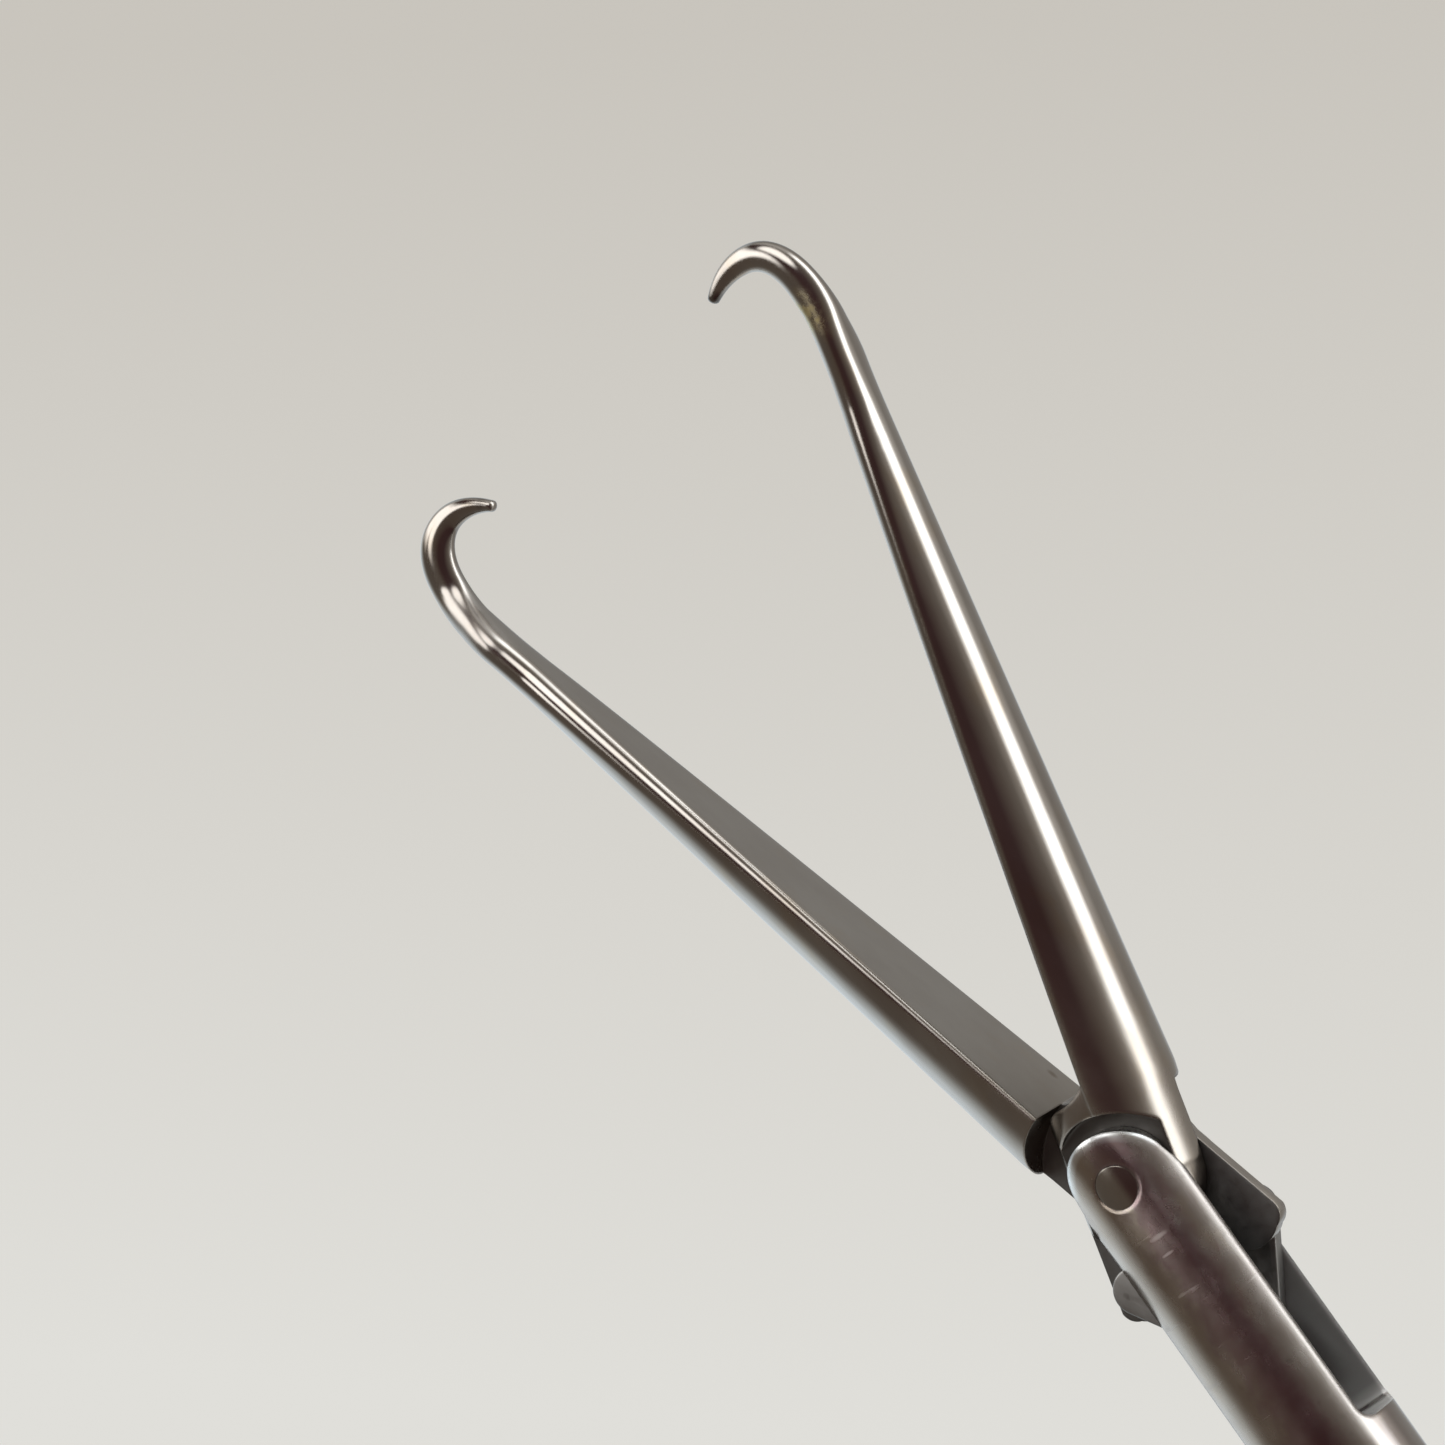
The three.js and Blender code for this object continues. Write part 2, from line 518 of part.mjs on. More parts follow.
function flushCapSolid() {
  const cap = alongY(4.6, 17, 25, PORT_X, 0, 24);
  const grips = [0, 1, 2, 3, 4, 5, 6, 7].map((i) => alongY(0.8, 16, 26, 0, 0, 8)
    .translate([PORT_X + 4.9 * Math.cos(rad(45 * i)), 0, 4.9 * Math.sin(rad(45 * i))]));
  const inside = alongY(3.25, 16, 22.1, PORT_X, 0, 24);
  return grips.reduce((solid, grip) => solid.subtract(grip), cap.subtract(inside));
}

function detentBallSolid() {
  const geometry = new THREE.SphereGeometry(1.2, 12, 8);
  geometry.translate(HEAD_FRONT - 0.35, 0, 8);
  return toSolid(geometry);
}

class Helix extends THREE.Curve {
  constructor(radius, pitch, turns) {
    super();
    this.radius = radius;
    this.pitch = pitch;
    this.turns = turns;
  }

  getPoint(t, target = new THREE.Vector3()) {
    const angle = 2 * Math.PI * this.turns * t;
    return target.set(
      this.pitch * this.turns * t, this.radius * Math.cos(angle), this.radius * Math.sin(angle));
  }
}

function detentSpringGeometry() {
  const wire = new THREE.Shape();
  wire.absarc(0, 0, 0.18, 0, 2 * Math.PI, false);
  const spring = new THREE.ExtrudeGeometry(wire, {
    steps: 50, extrudePath: new Helix(0.95, 1, 5), curveSegments: 3,
  });
  spring.translate(HEAD_FRONT - 6.8, 0, 8);
  return toSolid(spring);
}

// ---- assembly ----
const instrument = new THREE.Group();

// each jaw side is the same group, turned half round the shaft for the rear one
for (const side of ['a', 'b']) {
  const half = new THREE.Group();
  half.rotation.x = side === 'a' ? 0 : Math.PI;
  const jaw = part(`jaw_${side}`, jawSolid(), 'jaw');
  jaw.rotation.z = -rad(JAW_OPENING);
  half.add(jaw, part(`link_${side}`, linkSolid(), 'link'), part(`link_rivet_${side}`, rivetSolid(), 'pin'));
  instrument.add(half);
}

instrument.add(
  part('clevis', clevisSolid(), 'shaft'),
  part('jaw_pin', jawPinSolid(), 'pin'),
  part('rod_tip', rodTipSolid(), 'link'),
  part('rod_pin', rodPinSolid(), 'pin'),
  part('push_rod', pushRodSolid(), 'shaft'),
  part('rod_ball', rodBallSolid(), 'pin'),
  part('shaft_tube', tubeSolid(), 'shaft'),
  part('rod_seal', sealSolid(), 'silicone'),
  part('rotation_knob', knobSolid(), 'handle'),
  part('knob_grub_screw', grubScrewSolid(), 'pin'),
  part('bearing_sleeve', sleeveSolid(), 'shaft'),
  part('sleeve_o_ring', oRingSolid(), 'silicone'),
  part('head_nut', headNutSolid(), 'pin'),
  part('handle_frame', frameSolid(), 'handle'),
  part('thumb_lever', leverSolid(), 'handle'),
  part('lever_screw', leverScrewSolid(), 'pin'),
  part('lever_nut', leverNutSolid(), 'pin'),
  part('lever_washer_front', washerSolid(1), 'ptfe'),
  part('lever_washer_rear', washerSolid(-1), 'ptfe'),
  part('flush_port', flushPortSolid(), 'handle'),
  part('flush_cap', flushCapSolid(), 'handle'),
  part('detent_ball', detentBallSolid(), 'pin'),
  part('detent_spring', detentSpringGeometry(), 'pin'),
);

// the origin goes to the table, under the middle of the instrument's box
const extent = new THREE.Box3().setFromObject(instrument, true);
const middle = extent.getCenter(new THREE.Vector3());
instrument.position.set(-middle.x, -middle.y, -extent.min.z);

const forceps = new THREE.Group();
forceps.add(instrument);
export default forceps;
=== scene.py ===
"""Looks for the tenaculum forceps: polished steel jaws, clevis and links in fine meshes,
a cast satin steel handle, a pale floor and a soft studio."""
import math

import bmesh
import bpy
import numpy as np
from mathutils import Matrix, Vector


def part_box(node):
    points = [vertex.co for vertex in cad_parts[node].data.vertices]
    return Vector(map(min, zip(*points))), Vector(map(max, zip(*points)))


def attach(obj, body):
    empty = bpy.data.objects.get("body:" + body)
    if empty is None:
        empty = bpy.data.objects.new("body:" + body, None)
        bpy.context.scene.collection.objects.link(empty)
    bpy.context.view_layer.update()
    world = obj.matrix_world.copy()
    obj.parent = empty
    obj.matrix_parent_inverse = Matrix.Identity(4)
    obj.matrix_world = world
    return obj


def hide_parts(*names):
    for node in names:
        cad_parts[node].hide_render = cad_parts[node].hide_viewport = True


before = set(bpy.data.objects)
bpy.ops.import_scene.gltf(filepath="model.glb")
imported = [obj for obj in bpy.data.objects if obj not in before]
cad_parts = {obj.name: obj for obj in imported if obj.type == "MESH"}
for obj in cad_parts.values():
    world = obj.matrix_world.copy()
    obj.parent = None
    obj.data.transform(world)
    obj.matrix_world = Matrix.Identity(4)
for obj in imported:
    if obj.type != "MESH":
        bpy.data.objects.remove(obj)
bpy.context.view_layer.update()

# The instrument's own frame: millimetres, jaw pin on Z, shaft axis on X, jaws towards +X.
MM = 0.001
_pin_low, _pin_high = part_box("jaw_pin")
ORIGIN = (_pin_low + _pin_high) / 2
TO_ROW = Matrix.Translation(ORIGIN) @ Matrix.Scale(MM, 4)

R = 5.0                     # shaft radius
OPENING = math.radians(15.6)    # each jaw from the shaft axis, at rest
PIN_R = 0.3 * R
ROD_PIN_R = 0.17 * R
SLOT_HALF = 0.57 * R
SLOT_END = -4.38 * R
CHEEK_R = 0.75 * R
HEEL_BACK = -0.16 * R
SCOOP_R = 1.42 * R
SHOULDER_R = 0.99 * R       # the cheeks' ends clear this step in each jaw
TAIL_HUB_R = 0.94 * R
TAIL_END_R = 0.48 * R
TAIL_EDGE = 0.9 * R
ARM = 1.52 * R              # pin to rivet, and rivet to rod pin
TAIL_ANGLE = math.radians(18.1)
TAIL_TOP = 0.276 * R
LINK_LOW = 0.29 * R
LINK_TOP = 0.55 * R
HUB_TOP = 0.556 * R
ROD_PIN_X = -2.486 * R
CLEVIS_BACK = -6.6 * R
LEVER = (-318.0, -13.0)     # the lever screw
HEAD_FRONT, HEAD_BACK, HEAD_R = -277.0, -308.0, 9.5
PORT_X = -289.0             # rinsing port and its cap
GRUB_X = -269.0             # screw that holds the knob
BALL_R = 3.0                # ball at the rod's end, held in the lever's pocket
RIVET_R = 0.8
FIT_GAP = 0.03
ROD_PLAY = 0.28             # in the links' rod holes, for the linkage's uneven ratio


# ---------------------------------------------------------------- mesh tools
def mesh_object(name, verts, faces):
    mesh = bpy.data.meshes.new(name)
    mesh.from_pydata([tuple(v) for v in verts], [], faces)
    bm = bmesh.new()
    bm.from_mesh(mesh)
    bmesh.ops.recalc_face_normals(bm, faces=bm.faces)
    bm.to_mesh(mesh)
    bm.free()
    obj = bpy.data.objects.new(name, mesh)
    bpy.context.scene.collection.objects.link(obj)
    return obj


def loft(name, rings, closed=False):
    """A skin over rings of points, with end caps unless it closes on itself."""
    n = len(rings[0])
    verts = [p for ring in rings for p in ring]
    faces = []
    last = len(rings) if closed else len(rings) - 1
    for i in range(last):
        j = (i + 1) % len(rings)
        for k in range(n):
            m = (k + 1) % n
            faces.append((i * n + k, i * n + m, j * n + m, j * n + k))
    if not closed:
        faces.append(tuple(range(n)))
        faces.append(tuple((len(rings) - 1) * n + k for k in range(n)))
    return mesh_object(name, verts, faces)


def prism(name, outline, z0, z1):
    return loft(name, [[(x, y, z) for x, y in outline] for z in (z0, z1)])


def circle(cx, cy, radius, segments=96, start=0.0, sweep=2 * math.pi):
    closed = abs(sweep) > 6.28
    steps = segments if closed else segments + 1
    return [(cx + radius * math.cos(start + sweep * i / segments),
             cy + radius * math.sin(start + sweep * i / segments)) for i in range(steps)]


def rod_z(name, radius, z0, z1, x=0.0, y=0.0, segments=96):
    return prism(name, circle(x, y, radius, segments), z0, z1)


def revolve(name, profile, segments=128, centre=(0.0, 0.0, 0.0), axis="X"):
    """A closed profile of (along, radius) turned about X or Y."""
    rings = []
    for i in range(segments):
        a = 2 * math.pi * i / segments
        c, s = math.cos(a), math.sin(a)
        if axis == "X":
            ring = [(x, r * c, r * s) for x, r in profile]
        else:
            ring = [(r * c, x, r * s) for x, r in profile]
        rings.append([(p[0] + centre[0], p[1] + centre[1], p[2] + centre[2]) for p in ring])
    return loft(name, rings, closed=True)


def solid_round(name, radius, x0, x1, segments=96):
    """A plain round bar along X."""
    return loft(name, [[(x, y, z) for y, z in circle(0, 0, radius, segments)] for x in (x0, x1)])


def apply_modifiers(obj):
    bpy.context.view_layer.update()
    graph = bpy.context.evaluated_depsgraph_get()
    mesh = bpy.data.meshes.new_from_object(obj.evaluated_get(graph))
    obj.modifiers.clear()
    obj.data = mesh


def combine(obj, other, operation="DIFFERENCE"):
    modifier = obj.modifiers.new("combine", "BOOLEAN")
    modifier.operation = operation
    modifier.solver = "EXACT"
    modifier.object = other
    apply_modifiers(obj)
    bpy.data.objects.remove(other)
    return obj


def soften(obj, width, segments=3, angle=32):
    """Breaks the sharp edges with a small round."""
    modifier = obj.modifiers.new("bevel", "BEVEL")
    modifier.width = width
    modifier.segments = segments
    modifier.limit_method = "ANGLE"
    modifier.angle_limit = math.radians(angle)
    modifier.harden_normals = False
    modifier.miter_outer = "MITER_ARC"
    apply_modifiers(obj)


def clean(obj, distance=0.003):
    bm = bmesh.new()
    bm.from_mesh(obj.data)
    bmesh.ops.remove_doubles(bm, verts=bm.verts, dist=distance)
    bmesh.ops.dissolve_degenerate(bm, dist=distance, edges=bm.edges)
    bm.to_mesh(obj.data)
    bm.free()


def turn(obj, matrix):
    obj.data.transform(matrix)
    return obj


def place(obj, body, material, nodes=(), smooth=35):
    obj.data.transform(TO_ROW)
    if obj.data.materials:
        obj.data.materials.clear()
    obj.data.materials.append(material)
    obj.data.shade_smooth()
    obj.data.set_sharp_from_angle(angle=math.radians(smooth))
    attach(obj, body)
    if nodes:
        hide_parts(*nodes)
    return obj


# ---------------------------------------------------------------- materials
def steel(name, colour, dark, roughness, grain=0.05, tarnish=0.0, grime=0.0, edge=0.0, finish=None):
    """Steel with drifting heat tint, fine drawn lines and smudged gloss; edge is the radius of a rubbed round
    on the edges, in metres.
    """
    material = bpy.data.materials.new(name)
    material.use_nodes = True
    tree = material.node_tree
    nodes, links = tree.nodes, tree.links
    shader = nodes["Principled BSDF"]
    shader.inputs["Metallic"].default_value = 1.0
    coords = nodes.new("ShaderNodeTexCoord")

    def noise(scale, stretch=(1, 1, 1), detail=3.0, rough=0.5):
        mapping = nodes.new("ShaderNodeMapping")
        mapping.inputs["Scale"].default_value = stretch
        links.new(coords.outputs["Object"], mapping.inputs["Vector"])
        texture = nodes.new("ShaderNodeTexNoise")
        texture.inputs["Scale"].default_value = scale
        texture.inputs["Detail"].default_value = detail
        texture.inputs["Roughness"].default_value = rough
        links.new(mapping.outputs["Vector"], texture.inputs["Vector"])
        return texture.outputs["Fac"]

    def ramp(source, low, high, a=0.0, b=1.0):
        node = nodes.new("ShaderNodeMapRange")
        node.inputs["From Min"].default_value = low
        node.inputs["From Max"].default_value = high
        node.inputs["To Min"].default_value = a
        node.inputs["To Max"].default_value = b
        links.new(source, node.inputs["Value"])
        return node.outputs["Result"]

    def calc(operation, a, b=0.0):
        node = nodes.new("ShaderNodeMath")
        node.operation = operation
        for socket, value in ((node.inputs[0], a), (node.inputs[1], b)):
            if isinstance(value, (int, float)):
                socket.default_value = value
            else:
                links.new(value, socket)
        return node.outputs[0]

    def mix(factor, a, b):
        node = nodes.new("ShaderNodeMix")
        node.data_type = "RGBA"
        if isinstance(factor, float):
            node.inputs["Factor"].default_value = factor
        else:
            links.new(factor, node.inputs["Factor"])
        for socket, value in ((node.inputs[6], a), (node.inputs[7], b)):
            if isinstance(value, tuple):
                socket.default_value = (*value, 1.0)
            else:
                links.new(value, socket)
        return node.outputs[2]

    def split(vector, offset=(0, 0, 0)):
        shift = nodes.new("ShaderNodeVectorMath")
        shift.operation = "SUBTRACT"
        links.new(vector, shift.inputs[0])
        shift.inputs[1].default_value = offset
        node = nodes.new("ShaderNodeSeparateXYZ")
        links.new(shift.outputs[0], node.inputs[0])
        return node.outputs[0], node.outputs[1], node.outputs[2]

    drift = ramp(noise(300, (0.35, 1, 1), 5.0, 0.6), 0.38, 0.62)
    tone = mix(drift, colour, dark)
    if tarnish:
        gold = ramp(noise(420, (0.5, 1, 1), 3.0), 0.56, 0.72, 0.0, tarnish)
        tone = mix(gold, tone, (0.36, 0.25, 0.12))
    if grime:
        spots = ramp(noise(900, (1, 1, 1), 2.0), 0.66, 0.78, 0.0, grime)
        tone = mix(spots, tone, (0.06, 0.04, 0.03))
    rough = ramp(noise(340, (0.6, 1, 1), 5.0, 0.6), 0.3, 0.7, roughness * 0.75, roughness * 1.4)
    if finish:
        tone, rough = finish(tone, rough, coords, noise, ramp, calc, mix, split)
    links.new(tone, shader.inputs["Base Color"])
    links.new(rough, shader.inputs["Roughness"])

    drawn = noise(5200, (0.03, 1, 1), 2.0)
    fine = noise(16000, (1, 1, 1), 1.0)
    bump = nodes.new("ShaderNodeBump")
    bump.inputs["Strength"].default_value = grain
    bump.inputs["Distance"].default_value = 0.00002
    links.new(calc("ADD", calc("MULTIPLY", fine, 0.25), drawn), bump.inputs["Height"])
    if edge:
        bevel = nodes.new("ShaderNodeBevel")
        bevel.samples = 6
        bevel.inputs["Radius"].default_value = edge
        links.new(bevel.outputs["Normal"], bump.inputs["Normal"])
    links.new(bump.outputs["Normal"], shader.inputs["Normal"])
    return material


PIN_AT = tuple(ORIGIN)


def spot(coords, split, calc, ramp, at, radius, stretch=(1.0, 1.0, 1.0)):
    """Soft patch round a place given in the tool's millimetres."""
    place_at = TO_ROW @ Vector(at)
    x, y, z = split(coords.outputs["Object"], tuple(place_at))
    total = calc("POWER", calc("MULTIPLY", x, stretch[0]), 2)
    total = calc("ADD", total, calc("POWER", calc("MULTIPLY", y, stretch[1]), 2))
    total = calc("ADD", total, calc("POWER", calc("MULTIPLY", z, stretch[2]), 2))
    return ramp(calc("SQRT", total), radius * MM, radius * MM * 0.35)


def machined_and_shaded(limit, sign):
    """Milled flats inside the slot are satin, and painted shade darkens them, deepest near the pin."""
    def finish(tone, rough, coords, noise, ramp, calc, mix, split):
        x, y, z = split(coords.outputs["Object"], PIN_AT)
        nx, ny, nz = split(coords.outputs["Normal"])
        inner = calc("MULTIPLY", ramp(calc("ABSOLUTE", z), limit * MM + 0.00012, limit * MM - 0.00002),
                     calc("MULTIPLY", ramp(calc("ABSOLUTE", nz), 0.8, 0.95), ramp(x, 0.03, 0.02)))
        milled = ramp(noise(1400, (1, 1, 1), 3.0), 0.3, 0.7, 0.42, 0.6)
        rough = calc("MAXIMUM", rough, calc("MULTIPLY", inner, milled))
        # painted shade: the milled flats inside the slot are darkened
        tone = mix(calc("MULTIPLY", inner, 0.8), tone, (0.13, 0.133, 0.133))
        # painted shadow: near the pin, in the crevice round the cheeks' ends, the flats are made almost black
        reach = calc("SQRT", calc("ADD", calc("POWER", x, 2), calc("POWER", y, 2)))
        crevice_shadow = calc("MULTIPLY", inner, ramp(reach, 1.12 * R * MM, 0.95 * R * MM))
        tone = mix(calc("MULTIPLY", crevice_shadow, 0.7), tone, (0.03, 0.028, 0.026))
        flat = ramp(calc("MULTIPLY", ny, sign), 0.9, 0.955)
        rough = calc("MAXIMUM", rough, calc("MULTIPLY", flat, 0.3))
        tone = mix(calc("MULTIPLY", flat, 0.5), tone, (0.36, 0.35, 0.335))
        heel = ramp(x, 3.4 * R * MM, 0.9 * R * MM)
        heel = calc("MULTIPLY", heel, ramp(noise(500, (0.7, 1, 1), 3.0), 0.25, 0.6, 0.6, 1.0))
        heel = calc("MULTIPLY", heel, calc("SUBTRACT", 1.0, inner))
        rough = calc("ADD", rough, calc("MULTIPLY", heel, 0.17))
        tone = mix(calc("MULTIPLY", heel, 0.45), tone, (0.3, 0.255, 0.21))
        tip = spot(coords, split, calc, ramp, (64.6, -12.1 * sign, sign), 1.0 if sign > 0 else 0.6)
        tone = mix(calc("MULTIPLY", tip, 0.8), tone, (0.05, 0.045, 0.04))
        if sign < 0:
            mark = spot(coords, split, calc, ramp, (8.96, 2.55, -3.08), 0.4, (0.7, 1, 1))
            tone = mix(calc("MULTIPLY", mark, 0.55), tone, (0.13, 0.09, 0.05))
            bend = spot(coords, split, calc, ramp, (58.0, 17.3, 0.5), 5.0)
            rough = calc("ADD", rough, calc("MULTIPLY", bend, 0.17))
        else:
            bend = spot(coords, split, calc, ramp, (59.3, -17.5, 1.9), 1.7, (0.7, 1.3, 1))
            bend = calc("MULTIPLY", bend, ramp(noise(1200, (1, 1, 1), 2.0), 0.3, 0.6))
            rough = calc("ADD", rough, calc("MULTIPLY", bend, 0.3))
            tone = mix(calc("MULTIPLY", bend, 0.8), tone, (0.42, 0.34, 0.15))
        return tone, rough
    return finish


def cheek_wear_and_painted_light(tone, rough, coords, noise, ramp, calc, mix, split):
    """The cheeks are duller than the turned shaft, with two short scuffs behind the pin, painted reflections
    across them, a painted highlight on their ends' rims and painted light at the slot's end.
    """
    x, y, z = split(coords.outputs["Object"], PIN_AT)
    nx, ny, nz = split(coords.outputs["Normal"])
    dull = ramp(x, -0.0265, -0.019)
    haze = ramp(noise(700, (0.6, 1, 1), 4.0), 0.35, 0.65, 0.09, 0.19)
    rough = calc("ADD", rough, calc("MULTIPLY", dull, haze))
    # painted reflection: a maroon band, mottled at its borders, along the front of the shaft
    ragged = calc("ADD", y, ramp(noise(700, (0.7, 1, 1), 6.0, 0.7), 0.3, 0.7, -0.0009, 0.0009))
    maroon_reflection = calc("MULTIPLY", ramp(ragged, 0.0009, 0.0), ramp(ragged, -0.0028, -0.0019))
    maroon_reflection = calc("MULTIPLY", maroon_reflection, ramp(noise(1500, (1, 0.6, 1), 6.0, 0.75), 0.3, 0.62, 0.45, 1.0))
    # painted highlight on the rim of the cheeks' rounded ends, which the maroon band stops short of
    reach = calc("SQRT", calc("ADD", calc("POWER", x, 2), calc("POWER", y, 2)))
    rim_highlight = calc("MULTIPLY", ramp(reach, 0.0030, 0.0036), ramp(x, 0.0006, 0.002))
    maroon_reflection = calc("MULTIPLY", maroon_reflection, calc("SUBTRACT", 1.0, rim_highlight))
    tone = mix(calc("MULTIPLY", maroon_reflection, 0.6), tone, (0.29, 0.175, 0.19))
    # painted reflection: a tan band beside the maroon one, on the dull cheeks
    tan_reflection = calc("MULTIPLY", dull, ramp(ragged, 0.0, 0.0009))
    tone = mix(calc("MULTIPLY", tan_reflection, 0.4), tone, (0.4, 0.32, 0.24))
    # fine pale rubs running round the shaft
    rubs = ramp(noise(1700, (1.0, 0.1, 0.1), 3.0, 0.6), 0.6, 0.7)
    rubs = calc("MULTIPLY", rubs, ramp(noise(400, (1, 1, 1), 2.0), 0.45, 0.6))
    for at, length in (((-4.21, -0.53, 4.96), 0.85), ((-5.52, -0.34, 4.98), 0.55)):
        scuff = spot(coords, split, calc, ramp, at, length, (4.5, 1.0, 0.6))
        rubs = calc("MAXIMUM", rubs, scuff)
    rough = calc("ADD", rough, calc("MULTIPLY", rubs, 0.16))
    tone = mix(calc("MULTIPLY", rubs, 0.35), tone, (0.55, 0.52, 0.5))
    # painted highlight: the rim is made pale
    tone = mix(calc("MULTIPLY", rim_highlight, 0.8), tone, (0.8, 0.82, 0.82))
    # milled inside of the slot, with painted light near the slot's end and on its end wall
    inner = calc("MULTIPLY", ramp(calc("ABSOLUTE", z), SLOT_HALF * MM + 0.0002, SLOT_HALF * MM + 0.00005),
                 ramp(calc("ABSOLUTE", nz), 0.8, 0.95))
    rough = calc("MAXIMUM", rough, calc("MULTIPLY", inner, 0.5))
    # painted light: the inner faces grow pale towards the slot's end, where they lie in shade
    near_end = ramp(x, (SLOT_END + 1.6) * MM, (SLOT_END + 0.4) * MM)
    inner_tone_lit_at_end = mix(near_end, (0.32, 0.325, 0.325), (0.75, 0.75, 0.74))
    tone = mix(calc("MULTIPLY", inner, 0.8), tone, inner_tone_lit_at_end)
    # painted light: the slot's end wall is made pale, though it lies in shade
    wall = calc("MULTIPLY", ramp(nx, 0.5, 0.8), ramp(x, -0.0205, -0.0215))
    rough = calc("MAXIMUM", rough, calc("MULTIPLY", wall, 0.5))
    tone = mix(wall, tone, (0.9, 0.9, 0.89))
    return tone, rough


def satin(tone, rough, coords, noise, ramp, calc, mix, split):
    """Even bead-blasted gloss, smudged a little where it is held."""
    smudge = ramp(noise(70, (1, 1, 1), 3.0), 0.4, 0.65)
    blasted = ramp(noise(2600, (1, 1, 1), 2.0), 0.3, 0.7, 0.41, 0.47)
    return tone, calc("SUBTRACT", blasted, calc("MULTIPLY", smudge, 0.05))


def plain(name, colour, dark, roughness):
    material = bpy.data.materials.new(name)
    material.use_nodes = True
    nodes, links = material.node_tree.nodes, material.node_tree.links
    shader = nodes["Principled BSDF"]
    texture = nodes.new("ShaderNodeTexNoise")
    texture.inputs["Scale"].default_value = 900
    coords = nodes.new("ShaderNodeTexCoord")
    links.new(coords.outputs["Object"], texture.inputs["Vector"])
    node = nodes.new("ShaderNodeMix")
    node.data_type = "RGBA"
    links.new(texture.outputs["Fac"], node.inputs["Factor"])
    node.inputs[6].default_value = (*colour, 1.0)
    node.inputs[7].default_value = (*dark, 1.0)
    links.new(node.outputs[2], shader.inputs["Base Color"])
    shader.inputs["Roughness"].default_value = roughness
    bump = nodes.new("ShaderNodeBump")
    bump.inputs["Strength"].default_value = 0.15
    bump.inputs["Distance"].default_value = 0.00005
    links.new(texture.outputs["Fac"], bump.inputs["Height"])
    links.new(bump.outputs["Normal"], shader.inputs["Normal"])
    return material


JAW_A = steel("jaw_steel_a", (0.36, 0.335, 0.31), (0.31, 0.28, 0.255), 0.1, tarnish=0.2, edge=0.00035,
              finish=machined_and_shaded(HUB_TOP, 1))
JAW_B = steel("jaw_steel_b", (0.36, 0.335, 0.31), (0.31, 0.28, 0.255), 0.1, tarnish=0.2, edge=0.0002,
              finish=machined_and_shaded(HUB_TOP, -1))
CHEEK = steel("clevis_steel", (0.36, 0.335, 0.315), (0.31, 0.275, 0.26), 0.1, tarnish=0.2, grime=0.25,
              edge=0.00045, finish=cheek_wear_and_painted_light)
SHAFT = steel("shaft_steel", (0.36, 0.34, 0.315), (0.3, 0.27, 0.25), 0.11, tarnish=0.2, grime=0.3)
LINK = steel("link_steel", (0.3, 0.295, 0.285), (0.22, 0.212, 0.205), 0.45, grain=0.1, grime=0.4,
             edge=0.00012)
PIN = steel("pin_steel", (0.34, 0.315, 0.28), (0.28, 0.25, 0.22), 0.16, edge=0.0001)
HANDLE = steel("handle_steel", (0.53, 0.55, 0.545), (0.49, 0.51, 0.5), 0.4, grain=0.1, finish=satin)
SILICONE = plain("silicone", (0.26, 0.27, 0.29), (0.2, 0.21, 0.23), 0.6)
PTFE = plain("ptfe", (0.8, 0.79, 0.75), (0.72, 0.71, 0.67), 0.5)


# ---------------------------------------------------------------- jaws
def half_round(radius, fillet, back=0.05):
    """Section of the shank as (y, z): flat at y = -back, round on the -y side, corners broken."""
    fillet = min(fillet, radius * 0.46)
    cz = math.sqrt(max((radius - fillet) ** 2 - (back + fillet) ** 2, 1e-9))
    cy = -back - fillet
    meet = math.atan2(cz, cy)
    points = []
    for i in range(11):                       # upper corner, from the flat to the round
        a = meet * i / 10
        points.append((cy + fillet * math.cos(a), cz + fillet * math.sin(a)))
    for i in range(1, 60):                    # the round back
        a = meet + (2 * math.pi - 2 * meet) * i / 60
        points.append((radius * math.cos(a), radius * math.sin(a)))
    for i in range(11):                       # lower corner
        a = -meet + meet * i / 10
        points.append((cy + fillet * math.cos(a), -cz + fillet * math.sin(a)))
    for i in range(1, 12):                    # the flat
        points.append((-back, -cz + 2 * cz * i / 12))
    return points


def bezier(p0, p1, p2, p3, t):
    s = 1 - t
    return tuple(s ** 3 * a + 3 * s * s * t * b + 3 * s * t * t * c + t ** 3 * d
                 for a, b, c, d in zip(p0, p1, p2, p3))


def along(curves, count):
    """Evenly spaced points along joined bezier curves, in shaft radii."""
    dense = [bezier(*curve, t) for curve in curves for t in np.linspace(0, 1, 80)]
    dense = np.array(dense) * R
    steps = np.r_[0, np.cumsum(np.linalg.norm(np.diff(dense, axis=0), axis=1))]
    want = np.linspace(0, steps[-1], count)
    return np.c_[np.interp(want, steps, dense[:, 0]), np.interp(want, steps, dense[:, 1])]


def straight(a, b):
    third = ((2 * a[0] + b[0]) / 3, (2 * a[1] + b[1]) / 3)
    two = ((a[0] + 2 * b[0]) / 3, (a[1] + 2 * b[1]) / 3)
    return (a, third, two, b)


SHANK_HEEL = 0.945 * R
LEAN_START = 10.5 * R


def shank_radius(x):
    return (0.889 - 0.0459 * (x / R - 3)) * R


def corner_round(x):
    """The flat's polished corners are broken more and more towards the hook."""
    return (0.06 + 0.17 * min(1.0, max(0.0, (x / R - 1.5) / 9.5))) * R


def smooth_step(a, b, x):
    t = min(1.0, max(0.0, (x - a) / (b - a)))
    return t * t * (3 - 2 * t)


